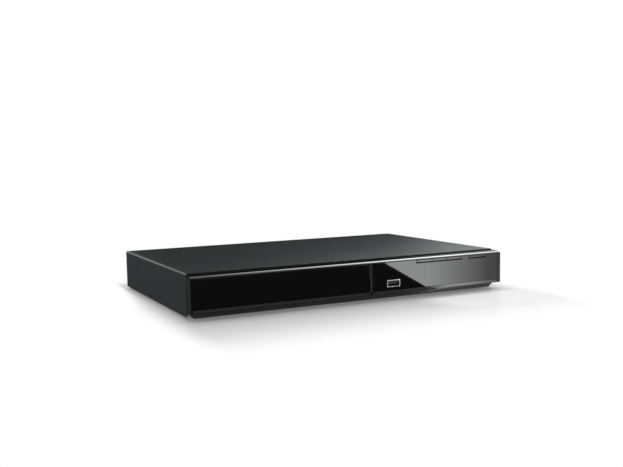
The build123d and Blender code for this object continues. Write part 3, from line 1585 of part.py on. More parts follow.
with BuildPart() as av_barrels:
    with BuildSketch(Plane.XZ.offset(-end_y)):
        with Locations(*[(x, av_z) for x in (*av_xs, coax_x)]):
            Circle(rca_radius)
    extrude(amount=end_y - block_face_y)
    with BuildSketch(Plane.XZ.offset(-block_face_y)):
        with Locations(*[(x, av_z) for x in (*av_xs, coax_x)]):
            Circle(barrel_root)
    extrude(amount=barrel_seat)
    with BuildSketch(Plane.XZ.offset(-end_y)):
        with Locations(*[(x, av_z) for x in (*av_xs, coax_x)]):
            Circle(barrel_root - barrel_wall)
    extrude(amount=end_y - block_face_y + barrel_seat, mode=Mode.SUBTRACT)

av_barrels.part.label = "av_barrels"
export_step(av_barrels.part, "parts/av_barrels.step")

with BuildPart() as av_cores:
    with BuildSketch(Plane.XZ.offset(-(end_y - 1.5))):
        with Locations(*[(x, av_z) for x in (*av_xs, coax_x)]):
            Circle(barrel_root - barrel_wall)
            Circle(1.6, mode=Mode.SUBTRACT)
    extrude(amount=end_y - 1.5 - block_face_y + barrel_seat)

av_cores.part.label = "av_cores"
export_step(av_cores.part, "parts/av_cores.step")

hdmi_z = board_high_z + hdmi_height / 2

with BuildPart() as hdmi_shell:
    with BuildSketch(Plane.XZ.offset(-(rear_y + 0.6))):
        with BuildLine():
            half = hdmi_width / 2
            Polyline(
                (hdmi_x - half, hdmi_z + hdmi_height / 2),
                (hdmi_x + half, hdmi_z + hdmi_height / 2),
                (hdmi_x + half, hdmi_z - 0.6),
                (hdmi_x + half - 2.2, hdmi_z - hdmi_height / 2),
                (hdmi_x - half + 2.2, hdmi_z - hdmi_height / 2),
                (hdmi_x - half, hdmi_z - 0.6),
                close=True,
            )
        make_face()
        offset(amount=-0.4, mode=Mode.SUBTRACT)
    extrude(amount=12.0)

hdmi_shell.part.label = "hdmi_shell"
export_step(hdmi_shell.part, "parts/hdmi_shell.step")

with BuildPart() as socket_tongues:
    # in the front socket
    core_width = usb_shell_width - 2 * usb_wall
    core_height = usb_shell_height - 2 * usb_wall
    with BuildSketch(Plane.XZ.offset(-(usb_mouth_y + usb_depth))):
        with Locations((usb_x, usb_z)):
            Rectangle(core_width - 0.1, core_height - 0.1)
    extrude(amount=2.6)
    with BuildSketch(Plane.XZ.offset(-(usb_mouth_y + usb_depth))):
        with Locations((usb_x, usb_z + 0.6)):
            Rectangle(core_width - 1.6, 1.8)
    extrude(amount=usb_depth - 1.4)
    with BuildSketch(Plane.XZ.offset(-(usb_mouth_y + usb_depth))):
        with Locations((usb_x, usb_z - 0.35)):
            with GridLocations(2.3, 0, 4, 1):
                Rectangle(1.0, 0.3)
    extrude(amount=usb_depth - 2.0)
    # in the rear socket
    tongue_back_y = rear_y + 0.6 - 12.0
    with BuildSketch(Plane.XZ.offset(-tongue_back_y)):
        with Locations((hdmi_x, hdmi_z)):
            Rectangle(hdmi_width - 4.8, hdmi_height - 0.9)
    extrude(amount=-2.5)
    with BuildSketch(Plane.XZ.offset(-tongue_back_y)):
        with Locations((hdmi_x, hdmi_z + 0.4)):
            Rectangle(hdmi_width - 3.4, 1.6)
    extrude(amount=-10.6)

socket_tongues.part.label = "socket_tongues"
export_step(socket_tongues.part, "parts/socket_tongues.step")

inlet_face_y = rear_y + 1.6
inlet_pin_gap = 8.6
inlet_depth = 11.0

with BuildPart() as power_inlet:
    with BuildSketch(Plane.XZ.offset(-inlet_face_y)):
        with Locations((inlet_x, inlet_z)):
            RectangleRounded(inlet_width + 3.0, inlet_height + 3.0, 1.5)
    extrude(amount=inlet_face_y - rear_y)
    with BuildSketch(Plane.XZ.offset(-rear_y)):
        with Locations((inlet_x, inlet_z)):
            Rectangle(inlet_width, inlet_height)
    extrude(amount=17.0)
    # figure-eight mouth
    with BuildSketch(Plane.XZ.offset(-inlet_face_y)):
        with Locations((inlet_x, inlet_z)):
            with GridLocations(inlet_pin_gap - 1.2, 0, 2, 1):
                Circle(4.4)
            Rectangle(inlet_pin_gap - 1.2, 7.4)
    extrude(amount=inlet_depth, mode=Mode.SUBTRACT)

power_inlet.part.label = "power_inlet"
export_step(power_inlet.part, "parts/power_inlet.step")

with BuildPart() as inlet_pins:
    with BuildSketch(Plane.XZ.offset(-(inlet_face_y - 2.0))):
        with Locations((inlet_x, inlet_z)):
            with GridLocations(inlet_pin_gap, 0, 2, 1):
                Circle(1.2)
    extrude(amount=inlet_depth - 2.0)
    fillet(inlet_pins.edges().group_by(Axis.Y)[-1], 0.7)

inlet_pins.part.label = "inlet_pins"
export_step(inlet_pins.part, "parts/inlet_pins.step")

# ---------------------------------------------------------------- power supply

core_x = 128.0
core_y = 20.0

with BuildPart() as transformer_core:
    with Locations((core_x, core_y, board_high_z + 2.0)):
        Box(25.0, 22.0, 17.0, align=LOW)
        with Locations((0, 0, 4.0)):
            Box(17.0, 22.0, 9.0, align=LOW, mode=Mode.SUBTRACT)
    with Locations((core_x, core_y, board_high_z + 2.0)):
        Box(6.0, 22.0 / 3, 17.0, align=LOW)

transformer_core.part.label = "transformer_core"
export_step(transformer_core.part, "parts/transformer_core.step")

with BuildPart() as transformer_winding:
    with Locations((core_x, core_y, board_high_z)):
        Box(22.0, 26.0, 2.0, align=LOW)
    with BuildSketch(Plane.XY.offset(board_high_z + 6.2)):
        with Locations((core_x, core_y)):
            RectangleRounded(16.6, 25.0, 3.0)
            Rectangle(6.2, 22.0 / 3 + 0.2, mode=Mode.SUBTRACT)
    extrude(amount=8.6)

transformer_winding.part.label = "transformer_winding"
export_step(transformer_winding.part, "parts/transformer_winding.step")

# x, y, radius and height of each can, on the main board and then on the power board
cans = [
    (16.0, 30.0, 2.6, 7.0),
    (24.0, 40.0, 2.6, 7.0),
    (36.0, 46.0, 3.2, 9.0),
    (48.0, 52.0, 3.2, 9.0),
    (84.0, -8.0, 2.6, 7.0),
    (84.0, 4.0, 2.6, 7.0),
    (70.0, -30.0, 2.6, 7.0),
    (112.0, 50.0, 7.0, 22.0),
    (111.0, 4.0, 4.2, 13.0),
    (111.0, -7.0, 4.2, 13.0),
    (121.0, -7.0, 4.2, 13.0),
]

with BuildPart() as capacitors:
    for can_x, can_y, can_radius, can_height in cans:
        with Locations((can_x, can_y, board_high_z)):
            Cylinder(can_radius, can_height, align=LOW)
    can_tops = capacitors.edges().filter_by(
        lambda edge: edge.geom_type == GeomType.CIRCLE
        and edge.center().Z > board_high_z + 5
    )
    fillet(can_tops, 0.6)

capacitors.part.label = "capacitors"
export_step(capacitors.part, "parts/capacitors.step")

fins = 6
fin_pitch = 3.4

with BuildPart() as heat_sink:
    with Locations((143.0, -4.0, board_high_z)):
        Box(2.0, fins * fin_pitch, 20.0, align=LOW)
        with Locations((-3.4, 0, 0)):
            with GridLocations(0, fin_pitch, 1, fins):
                Box(5.6, 1.0, 20.0, align=LOW)

heat_sink.part.label = "heat_sink"
export_step(heat_sink.part, "parts/heat_sink.step")

with BuildPart() as switching_transistor:
    with Locations((144.0, -4.0, board_high_z + 4.0)):
        Box(4.4, 10.0, 14.0, align=(Align.MIN, Align.CENTER, Align.MIN))
    with Locations((146.2, -4.0, board_high_z)):
        with GridLocations(0, 2.6, 1, 3):
            Box(0.7, 1.0, 4.0, align=LOW)

switching_transistor.part.label = "switching_transistor"
export_step(switching_transistor.part, "parts/switching_transistor.step")

with BuildPart() as mains_filter:
    with BuildSketch(Plane.XY.offset(board_high_z)):
        with Locations((134.0, 52.0)):
            Rectangle(17.0, 14.0)
    extrude(amount=2.0)
    with BuildSketch(Plane.XZ.offset(-(52.0 - 6.0))):
        with Locations((134.0, board_high_z + 10.0)):
            RectangleRounded(16.0, 16.0, 5.0)
            RectangleRounded(8.0, 8.0, 2.0, mode=Mode.SUBTRACT)
    extrude(amount=-12.0)

mains_filter.part.label = "mains_filter"
export_step(mains_filter.part, "parts/mains_filter.step")

fuse_x = 119.0

with BuildPart() as mains_fuse:
    with BuildSketch(Plane.XZ.offset(-64.0)):
        with Locations((fuse_x, board_high_z + 4.4)):
            Circle(2.5)
    extrude(amount=-18.0)
    with Locations((fuse_x, 67.0, board_high_z), (fuse_x, 79.0, board_high_z)):
        Box(6.4, 3.0, 4.4, align=LOW)

mains_fuse.part.label = "mains_fuse"
export_step(mains_fuse.part, "parts/mains_fuse.step")
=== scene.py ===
import json
import math

import bmesh
import bpy
from mathutils import Matrix, Vector


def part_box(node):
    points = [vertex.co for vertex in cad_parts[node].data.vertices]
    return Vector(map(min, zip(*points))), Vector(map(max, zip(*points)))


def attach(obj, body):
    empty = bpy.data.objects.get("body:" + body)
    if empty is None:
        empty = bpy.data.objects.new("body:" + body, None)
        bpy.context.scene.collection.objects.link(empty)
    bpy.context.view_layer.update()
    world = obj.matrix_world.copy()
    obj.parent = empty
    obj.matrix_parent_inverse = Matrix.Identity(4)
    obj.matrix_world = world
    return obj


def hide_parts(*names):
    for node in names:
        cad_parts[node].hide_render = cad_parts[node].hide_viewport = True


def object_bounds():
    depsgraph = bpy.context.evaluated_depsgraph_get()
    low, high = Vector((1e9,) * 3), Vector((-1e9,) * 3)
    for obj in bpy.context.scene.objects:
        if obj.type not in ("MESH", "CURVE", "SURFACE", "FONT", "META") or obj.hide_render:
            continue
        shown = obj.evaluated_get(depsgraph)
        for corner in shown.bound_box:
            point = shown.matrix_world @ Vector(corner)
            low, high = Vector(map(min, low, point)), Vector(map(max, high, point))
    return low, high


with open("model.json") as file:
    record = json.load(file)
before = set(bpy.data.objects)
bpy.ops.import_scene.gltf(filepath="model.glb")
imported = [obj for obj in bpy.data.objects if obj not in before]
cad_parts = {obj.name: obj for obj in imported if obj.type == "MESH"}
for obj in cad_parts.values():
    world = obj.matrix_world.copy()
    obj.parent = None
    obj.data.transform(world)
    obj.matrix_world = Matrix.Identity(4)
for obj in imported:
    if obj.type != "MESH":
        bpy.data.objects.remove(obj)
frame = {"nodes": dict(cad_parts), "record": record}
cad_low, cad_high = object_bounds()

# ---------------------------------------------------------------- the player
# The CAD case stands on z = 0 with its front towards -Y. All lengths are in metres.
millimetre = 0.001
cover_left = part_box("top_cover")[0].x
front_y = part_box("front_panel")[0].y


# ---------------------------------------------------------------- the camera
# The place and the turn come from the corners of the case as the photograph shows them.
picture_width = 623
focal_pixels = 804.5
camera_place = (-0.3573, -0.7066, 0.1308)
camera_yaw = math.radians(27.17)
camera_dip = math.radians(5.53)
camera_roll = math.radians(-0.85)


def set_camera():
    """Stands the camera at the photograph's place, with its focal length in pixels."""
    data = bpy.data.cameras.new("camera")
    data.sensor_width = 36.0
    data.lens = data.sensor_width * focal_pixels / picture_width
    data.clip_start, data.clip_end = 0.01, 20.0
    camera = bpy.data.objects.new("camera", data)
    bpy.context.scene.collection.objects.link(camera)
    ahead = Vector((
        math.sin(camera_yaw) * math.cos(camera_dip),
        math.cos(camera_yaw) * math.cos(camera_dip),
        -math.sin(camera_dip),
    ))
    right = Vector((math.cos(camera_yaw), -math.sin(camera_yaw), 0.0))
    up = right.cross(ahead)
    rolled_right = math.cos(camera_roll) * right + math.sin(camera_roll) * up
    rolled_up = math.cos(camera_roll) * up - math.sin(camera_roll) * right
    turn = Matrix((rolled_right, rolled_up, -ahead)).transposed()
    camera.matrix_world = Matrix.Translation(camera_place) @ turn.to_4x4()
    bpy.context.scene.camera = camera


set_camera()


# ---------------------------------------------------------------- node helpers
def add(tree, kind, **settings):
    """Adds a node; a setting named after an input socket fills it, any other is an attribute."""
    node = tree.nodes.new(kind)
    for name, value in settings.items():
        if hasattr(node, name):
            setattr(node, name, value)
        else:
            node.inputs[name.replace("_", " ")].default_value = value
    return node


def join(tree, *pairs):
    """Links outputs to inputs, given as pairs."""
    for source, target in pairs:
        tree.links.new(source, target)


def maths(tree, operation, first, second=None, third=None):
    """A Math node on sockets or plain numbers; returns its output."""
    node = tree.nodes.new("ShaderNodeMath")
    node.operation = operation
    for place, value in enumerate((first, second, third)):
        if value is None:
            continue
        if isinstance(value, (int, float)):
            node.inputs[place].default_value = value
        else:
            tree.links.new(value, node.inputs[place])
    return node.outputs[0]


def place_on(tree):
    """X, Y and Z of the shaded point."""
    place = add(tree, "ShaderNodeTexCoord")
    apart = add(tree, "ShaderNodeSeparateXYZ")
    tree.links.new(place.outputs["Object"], apart.inputs[0])
    return apart.outputs["X"], apart.outputs["Y"], apart.outputs["Z"]


def seen_or_mirrored(tree):
    """One for rays from the camera and through gloss and glass, nought for all others."""
    path = add(tree, "ShaderNodeLightPath")
    return maths(tree, "MAXIMUM", path.outputs["Is Camera Ray"], maths(
        tree, "MAXIMUM", path.outputs["Is Glossy Ray"], path.outputs["Is Transmission Ray"]))


def group(name, inputs, outputs):
    """An empty shader node group with its sockets; returns the tree and its two end nodes."""
    tree = bpy.data.node_groups.new(name, "ShaderNodeTree")
    kinds = {"value": "NodeSocketFloat", "vector": "NodeSocketVector", "colour": "NodeSocketColor"}
    for label, kind, start in inputs:
        socket = tree.interface.new_socket(label, in_out="INPUT", socket_type=kinds[kind])
        socket.default_value = start
    for label, kind in outputs:
        tree.interface.new_socket(label, in_out="OUTPUT", socket_type=kinds[kind])
    return tree, tree.nodes.new("NodeGroupInput"), tree.nodes.new("NodeGroupOutput")


# ---------------------------------------------------------------- shared effects
def make_surface_grain():
    """Fine bumps of a moulded, coated or sintered skin, over edges rounded for the light."""
    tree, given, made = group(
        "surface_grain",
        [("Size", "value", 0.0005), ("Depth", "value", 0.00002), ("Stretch", "vector", (1, 1, 1)),
         ("Edge", "value", 0.0002)],
        [("Normal", "vector")],
    )
    place = add(tree, "ShaderNodeTexCoord")
    stretched = add(tree, "ShaderNodeVectorMath", operation="MULTIPLY")
    noise = add(tree, "ShaderNodeTexNoise", Detail=3.0, Roughness=0.6)
    edge = add(tree, "ShaderNodeBevel", samples=4)
    bump = add(tree, "ShaderNodeBump", Strength=1.0)
    join(
        tree,
        (place.outputs["Object"], stretched.inputs[0]),
        (given.outputs["Stretch"], stretched.inputs[1]),
        (stretched.outputs[0], noise.inputs["Vector"]),
        (maths(tree, "DIVIDE", 1.0, given.outputs["Size"]), noise.inputs["Scale"]),
        (given.outputs["Edge"], edge.inputs["Radius"]),
        (noise.outputs["Fac"], bump.inputs["Height"]),
        (given.outputs["Depth"], bump.inputs["Distance"]),
        (edge.outputs["Normal"], bump.inputs["Normal"]),
        (bump.outputs["Normal"], made.inputs["Normal"]),
    )
    return tree


def make_uneven_shade():
    """A colour that drifts a little over the piece, as pigment and coating do."""
    tree, given, made = group(
        "uneven_shade",
        [("Colour", "colour", (0.1, 0.1, 0.1, 1)), ("Amount", "value", 0.1),
         ("Size", "value", 0.03)],
        [("Colour", "colour")],
    )
    place = add(tree, "ShaderNodeTexCoord")
    noise = add(tree, "ShaderNodeTexNoise", Detail=4.0, Roughness=0.55)
    swing = maths(tree, "MULTIPLY", maths(tree, "SUBTRACT", noise.outputs["Fac"], 0.5), 2.0)
    factor = maths(tree, "MULTIPLY_ADD", swing, given.outputs["Amount"], 1.0)
    scaled = add(tree, "ShaderNodeVectorMath", operation="SCALE")
    join(
        tree,
        (place.outputs["Object"], noise.inputs["Vector"]),
        (maths(tree, "DIVIDE", 1.0, given.outputs["Size"]), noise.inputs["Scale"]),
        (given.outputs["Colour"], scaled.inputs[0]),
        (factor, scaled.inputs["Scale"]),
        (scaled.outputs[0], made.inputs["Colour"]),
    )
    return tree


def make_board_tracks():
    """Copper tracks that show faintly through the solder mask, in stretches set askew."""
    tree, given, made = group(
        "board_tracks",
        [("Mask", "colour", (0.01, 0.075, 0.03, 1)), ("Track", "colour", (0.03, 0.16, 0.06, 1)),
         ("Pitch", "value", 0.0025)],
        [("Colour", "colour")],
    )
    place = add(tree, "ShaderNodeTexCoord")
    stretch_size, stretch_shift = 0.006, 0.004
    stretch = add(tree, "ShaderNodeVectorMath", operation="SNAP")
    stretch.inputs[1].default_value = (stretch_size, stretch_size, stretch_size)
    noise = add(tree, "ShaderNodeTexNoise", Scale=90.0, Detail=0.0)
    shift = add(tree, "ShaderNodeVectorMath", operation="SCALE")
    shift.inputs["Scale"].default_value = stretch_shift
    moved = add(tree, "ShaderNodeVectorMath", operation="ADD")
    bricks = add(tree, "ShaderNodeTexBrick")
    for label, value in (("Mortar Size", 0.09), ("Mortar Smooth", 0.1), ("Brick Width", 3.0),
                         ("Row Height", 0.6)):
        bricks.inputs[label].default_value = value
    mixed = add(tree, "ShaderNodeMix", data_type="RGBA")
    join(
        tree,
        (place.outputs["Object"], stretch.inputs[0]),
        (stretch.outputs[0], noise.inputs["Vector"]),
        (noise.outputs["Color"], shift.inputs[0]),
        (place.outputs["Object"], moved.inputs[0]),
        (shift.outputs[0], moved.inputs[1]),
        (moved.outputs[0], bricks.inputs["Vector"]),
        (maths(tree, "DIVIDE", 1.0, given.outputs["Pitch"]), bricks.inputs["Scale"]),
        (bricks.outputs["Fac"], mixed.inputs["Factor"]),
        (given.outputs["Mask"], mixed.inputs[6]),
        (given.outputs["Track"], mixed.inputs[7]),
        (mixed.outputs[2], made.inputs["Colour"]),
    )
    return tree


def make_handling_film():
    """Roughness of a polished face with faint wipes and settled dust."""
    tree, given, made = group(
        "handling_film",
        [("Clean", "value", 0.05), ("Wiped", "value", 0.12), ("Size", "value", 0.02)],
        [("Roughness", "value")],
    )
    place = add(tree, "ShaderNodeTexCoord")
    wipe_stretch = (0.35, 1.0, 1.0)
    smear = add(tree, "ShaderNodeVectorMath", operation="MULTIPLY")
    smear.inputs[1].default_value = wipe_stretch
    wipes = add(tree, "ShaderNodeTexNoise", Detail=5.0, Roughness=0.6, Distortion=0.6)
    limits = add(tree, "ShaderNodeMapRange", interpolation_type="SMOOTHSTEP")
    limits.inputs["From Min"].default_value = 0.45
    limits.inputs["From Max"].default_value = 0.8
    spread = maths(tree, "SUBTRACT", given.outputs["Wiped"], given.outputs["Clean"])
    join(
        tree,
        (place.outputs["Object"], smear.inputs[0]),
        (smear.outputs[0], wipes.inputs["Vector"]),
        (maths(tree, "DIVIDE", 1.0, given.outputs["Size"]), wipes.inputs["Scale"]),
        (wipes.outputs["Fac"], limits.inputs["Value"]),
        (maths(tree, "MULTIPLY_ADD", limits.outputs[0], spread, given.outputs["Clean"]),
         made.inputs["Roughness"]),
    )
    return tree


surface_grain = make_surface_grain()
uneven_shade = make_uneven_shade()
handling_film = make_handling_film()
board_tracks = make_board_tracks()


# ---------------------------------------------------------------- materials
def finish_of(name, colour, *, metal=0.0, size=0.0005, depth=0.00001, stretch=(1, 1, 1),
              edge=0.0002, uneven=0.08, patch=0.03, clean=0.35, wiped=0.45, **sockets):
    """A finish from the three shared effects; other sockets of the shader are set as given."""
    material = bpy.data.materials.new(name)
    material.use_nodes = True
    tree = material.node_tree
    shader = tree.nodes["Principled BSDF"]
    for label, value in sockets.items():
        shader.inputs[label.replace("_", " ")].default_value = value
    shader.inputs["Metallic"].default_value = metal
    grain = add(tree, "ShaderNodeGroup", node_tree=surface_grain)
    grain.inputs["Size"].default_value = size
    grain.inputs["Depth"].default_value = depth
    grain.inputs["Stretch"].default_value = stretch
    grain.inputs["Edge"].default_value = edge
    shade = add(tree, "ShaderNodeGroup", node_tree=uneven_shade)
    shade.inputs["Colour"].default_value = (*colour, 1)
    shade.inputs["Amount"].default_value = uneven
    shade.inputs["Size"].default_value = patch
    film = add(tree, "ShaderNodeGroup", node_tree=handling_film)
    film.inputs["Clean"].default_value = clean
    film.inputs["Wiped"].default_value = wiped
    join(
        tree,
        (shade.outputs["Colour"], shader.inputs["Base Color"]),
        (film.outputs["Roughness"], shader.inputs["Roughness"]),
        (grain.outputs["Normal"], shader.inputs["Normal"]),
    )
    return material


# ---- the finishes, by the material slot that each piece has in the record
finishes = {
    "painted_steel": finish_of(
        "cover_paint", (0.024, 0.029, 0.031), size=0.0004, depth=0.000012, edge=0.0003,
        uneven=0.05, clean=0.29, wiped=0.33, Specular_IOR_Level=0.3),
    "plated_steel": finish_of(
        "chassis_coat", (0.018, 0.018, 0.019), size=0.0006, depth=0.00001, clean=0.4, wiped=0.5),
    "foot_rubber": finish_of(
        "foot_rubber", (0.012, 0.012, 0.012), size=0.0008, depth=0.00004, clean=0.75, wiped=0.85),
    "gloss_black": finish_of(
        "fascia_gloss", (0.003, 0.003, 0.0032), size=0.004, depth=0.000002, edge=0.00015,
        uneven=0.1, clean=0.04, wiped=0.07),
    "smoked_window": finish_of(
        "window_gloss", (0.003, 0.003, 0.0032), size=0.006, depth=0.0000015, edge=0.00012,
        uneven=0.1, clean=0.03, wiped=0.05),
    "tray_plastic": finish_of(
        "tray_plastic", (0.02, 0.02, 0.021), size=0.0004, depth=0.00002, clean=0.42, wiped=0.5),
    "frame_plastic": finish_of(
        "loader_plastic", (0.028, 0.028, 0.03), size=0.0006, depth=0.00002, clean=0.45, wiped=0.55),
    "gear_plastic": finish_of(
        "gear_plastic", (0.72, 0.7, 0.63), size=0.0006, depth=0.000006, clean=0.32, wiped=0.4,
        Subsurface_Weight=0.15, Subsurface_Scale=0.001),
    "clamper_plastic": finish_of(
        "clamper_plastic", (0.03, 0.03, 0.03), size=0.0005, depth=0.00001, clean=0.4, wiped=0.5),
    "bright_steel": finish_of(
        "plated_steel", (0.62, 0.62, 0.6), metal=1.0, size=0.0012, depth=0.000004,
        stretch=(0.15, 1, 1), clean=0.28, wiped=0.36),
    "motor_steel": finish_of(
        "motor_can", (0.55, 0.55, 0.54), metal=1.0, size=0.0008, depth=0.000003,
        stretch=(1, 1, 0.1), clean=0.25, wiped=0.35),
    "turntable_plastic": finish_of(
        "turntable_plastic", (0.035, 0.035, 0.036), size=0.0004, depth=0.00001,
        clean=0.4, wiped=0.5),
    "pickup_metal": finish_of(
        "pickup_casting", (0.5, 0.5, 0.49), metal=1.0, size=0.0006, depth=0.00002,
        clean=0.45, wiped=0.55),
    "actuator_plastic": finish_of(
        "actuator_plastic", (0.02, 0.02, 0.02), size=0.0004, depth=0.00001, clean=0.35, wiped=0.45),
    "lens_glass": finish_of(
        "lens_glass", (0.75, 0.8, 0.95), size=0.01, depth=0.0, edge=0.00005, uneven=0.0,
        clean=0.0, wiped=0.02, Transmission_Weight=1.0, IOR=1.5, Coat_Weight=0.6,
        Coat_Tint=(0.55, 0.4, 1.0, 1)),
    "damper_rubber": finish_of(
        "belt_rubber", (0.018, 0.018, 0.018), size=0.0006, depth=0.00002, clean=0.6, wiped=0.7),
    "screw_steel": finish_of(
        "screw_zinc", (0.16, 0.16, 0.17), metal=1.0, size=0.0005, depth=0.000006,
        clean=0.3, wiped=0.4),
    "board_green": finish_of(
        "solder_mask", (0.01, 0.075, 0.03), size=0.0008, depth=0.000008, clean=0.25, wiped=0.35),
    "board_brown": finish_of(
        "paper_board", (0.3, 0.17, 0.06), size=0.0006, depth=0.00001, clean=0.45, wiped=0.55),
    "chip_black": finish_of(
        "chip_moulding", (0.016, 0.016, 0.017), size=0.0003, depth=0.00001, clean=0.45, wiped=0.5),
    "can_sleeve": finish_of(
        "capacitor_sleeve", (0.016, 0.018, 0.045), size=0.001, depth=0.000004,
        clean=0.28, wiped=0.36),
    "ribbon_white": finish_of(
        "ribbon_film", (0.78, 0.78, 0.76), size=0.001, depth=0.000004, clean=0.35, wiped=0.45),
    "lamp_lens": finish_of(
        "lamp_lens", (0.45, 0.01, 0.012), size=0.002, depth=0.0, clean=0.1, wiped=0.15,
        Transmission_Weight=0.6),
    "jack_plastic": finish_of(
        "jack_moulding", (0.02, 0.02, 0.021), size=0.0005, depth=0.00001, clean=0.35, wiped=0.45),
    "jack_metal": finish_of(
        "jack_plating", (0.66, 0.66, 0.64), metal=1.0, size=0.001, depth=0.000002,
        clean=0.16, wiped=0.24),
    "jack_colour": finish_of(
        "jack_insert", (0.65, 0.5, 0.04), size=0.0006, depth=0.000006, clean=0.35, wiped=0.45),
    "ferrite": finish_of(
        "ferrite", (0.045, 0.045, 0.048), size=0.0005, depth=0.00003, clean=0.5, wiped=0.6),
    "winding_tape": finish_of(
        "winding_tape", (0.7, 0.5, 0.06), size=0.001, depth=0.00001, clean=0.3, wiped=0.4),
    "sink_aluminium": finish_of(
        "heat_sink", (0.62, 0.62, 0.63), metal=1.0, size=0.001, depth=0.000006,
        stretch=(1, 1, 0.1), clean=0.32, wiped=0.42),
    "fuse_glass": finish_of(
        "fuse_glass", (0.85, 0.9, 0.9), size=0.01, depth=0.0, uneven=0.0, clean=0.02, wiped=0.04,
        Transmission_Weight=0.9),
}


def dull_rebates(material, behind_y, under_z, roughness):
    """Dulls a polished finish inside the rebates, behind one plane and under another."""
    tree = material.node_tree
    rough = tree.nodes["Principled BSDF"].inputs["Roughness"]
    polished = rough.links[0].from_socket
    y, z = place_on(tree)[1:]
    inside = maths(tree, "MULTIPLY", maths(tree, "GREATER_THAN", y, behind_y),
                   maths(tree, "LESS_THAN", z, under_z))
    dull = maths(tree, "MULTIPLY", inside, roughness)
    tree.links.new(maths(tree, "MAXIMUM", polished, dull), rough)


def lay_tracks(material, mask, track):
    """Puts the tracks into a board's finish."""
    tree = material.node_tree
    tracks = add(tree, "ShaderNodeGroup", node_tree=board_tracks)
    tracks.inputs["Mask"].default_value = (*mask, 1)
    tracks.inputs["Track"].default_value = (*track, 1)
    tree.links.new(tracks.outputs["Colour"], tree.nodes["Principled BSDF"].inputs["Base Color"])


def painted_post_highlight(material, middle, half_width, low_z, high_z, colour):
    """Paints a greyer band on the post between the tray door and the window: a painted highlight
    along the post's edge.
    """
    tree = material.node_tree
    base = tree.nodes["Principled BSDF"].inputs["Base Color"]
    x, y, z = place_on(tree)
    across = maths(tree, "ABSOLUTE", maths(tree, "SUBTRACT", x, middle))
    upright = maths(tree, "MULTIPLY", maths(tree, "GREATER_THAN", z, low_z),
                    maths(tree, "LESS_THAN", z, high_z))
    within = maths(tree, "MULTIPLY", maths(tree, "LESS_THAN", across, half_width), upright)
    mixed = add(tree, "ShaderNodeMix", data_type="RGBA")
    mixed.inputs[7].default_value = (*colour, 1)
    join(tree, (base.links[0].from_socket, mixed.inputs[6]), (within, mixed.inputs["Factor"]))
    tree.links.new(mixed.outputs[2], base)


rebate_depth, rebate_top = 0.0012, 0.0352
post_foot, post_head = 0.0095, 0.0345
# painted highlight: a greyer band of base colour on the gloss post stands in for the light along
# its edge
painted_post_highlight(finishes["gloss_black"], 0.0104, 0.0007, post_foot, post_head, (0.042, 0.044, 0.046))
dull_rebates(finishes["gloss_black"], front_y + rebate_depth, rebate_top, roughness=0.6)
lay_tracks(finishes["board_green"], mask=(0.01, 0.075, 0.03), track=(0.03, 0.15, 0.06))

slot_of = {entry["node"]: entry["material_slot"] for entry in frame["record"]["subparts"]}
for node, piece in frame["nodes"].items():
    piece.data.materials.clear()
    piece.data.materials.append(finishes[slot_of[node]])


# ---------------------------------------------------------------- pieces made here
def place_piece(name, mesh, material, slot_name, body, *replaced):
    """Links a finished mesh, gives it its finish and its body, and hides what it stands for."""
    mesh.materials.clear()
    mesh.materials.append(material)
    piece = bpy.data.objects.new(name, mesh)
    bpy.context.scene.collection.objects.link(piece)
    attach(piece, body)
    if replaced:
        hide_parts(*replaced)
    return piece


def geometry_tree(name, inputs):
    """An empty Geometry Nodes tree with the given inputs; returns it and its two end nodes."""
    tree = bpy.data.node_groups.new(name, "GeometryNodeTree")
    kinds = {
        "geometry": "NodeSocketGeometry", "value": "NodeSocketFloat", "vector": "NodeSocketVector",
        "whole": "NodeSocketInt", "finish": "NodeSocketMaterial"}
    for label, kind in inputs:
        tree.interface.new_socket(label, in_out="INPUT", socket_type=kinds[kind])
    tree.interface.new_socket("Geometry", in_out="OUTPUT", socket_type="NodeSocketGeometry")
    return tree, tree.nodes.new("NodeGroupInput"), tree.nodes.new("NodeGroupOutput")


def grown_mesh(name, points, tree, **values):
    """Runs a tree on loose points, given in millimetres, and returns its plain mesh."""
    seed_mesh = bpy.data.meshes.new(name + "_points")
    seed_mesh.from_pydata([Vector(point) * millimetre for point in points], [], [])
    carrier = bpy.data.objects.new(name + "_points", seed_mesh)
    bpy.context.scene.collection.objects.link(carrier)
    modifier = carrier.modifiers.new(name, "NODES")
    modifier.node_group = tree
    sockets = {
        socket.name: socket.identifier for socket in tree.interface.items_tree
        if socket.item_type == "SOCKET" and socket.in_out == "INPUT"}
    for label, value in values.items():
        modifier[sockets[label.replace("_", " ")]] = value
    shaped = carrier.evaluated_get(bpy.context.evaluated_depsgraph_get())
    mesh = bpy.data.meshes.new_from_object(shaped)
    carrier.modifiers.remove(modifier)
    bpy.data.objects.remove(carrier)
    bpy.data.meshes.remove(seed_mesh)
    mesh.name = name
    return mesh


def mended_mesh(name, points, faces, *mends):
    """A closed mesh with its faces outwards, after the given mends."""
    mesh = bpy.data.meshes.new(name)
    mesh.from_pydata(points, [], faces)
    shape = bmesh.new()
    shape.from_mesh(mesh)
    for mend in mends:
        mend(shape)
    bmesh.ops.recalc_face_normals(shape, faces=shape.faces)
    shape.to_mesh(mesh)
    shape.free()
    return mesh


def merge_doubles(shape):
    """Joins points that fall together, and drops the edges and faces lost by it."""
    least = 1e-6
    bmesh.ops.remove_doubles(shape, verts=shape.verts, dist=least)
    bmesh.ops.dissolve_degenerate(shape, edges=shape.edges, dist=least)


def close_ends(shape):
    """Fills the open ends."""
    bmesh.ops.holes_fill(shape, edges=[edge for edge in shape.edges if edge.is_boundary])


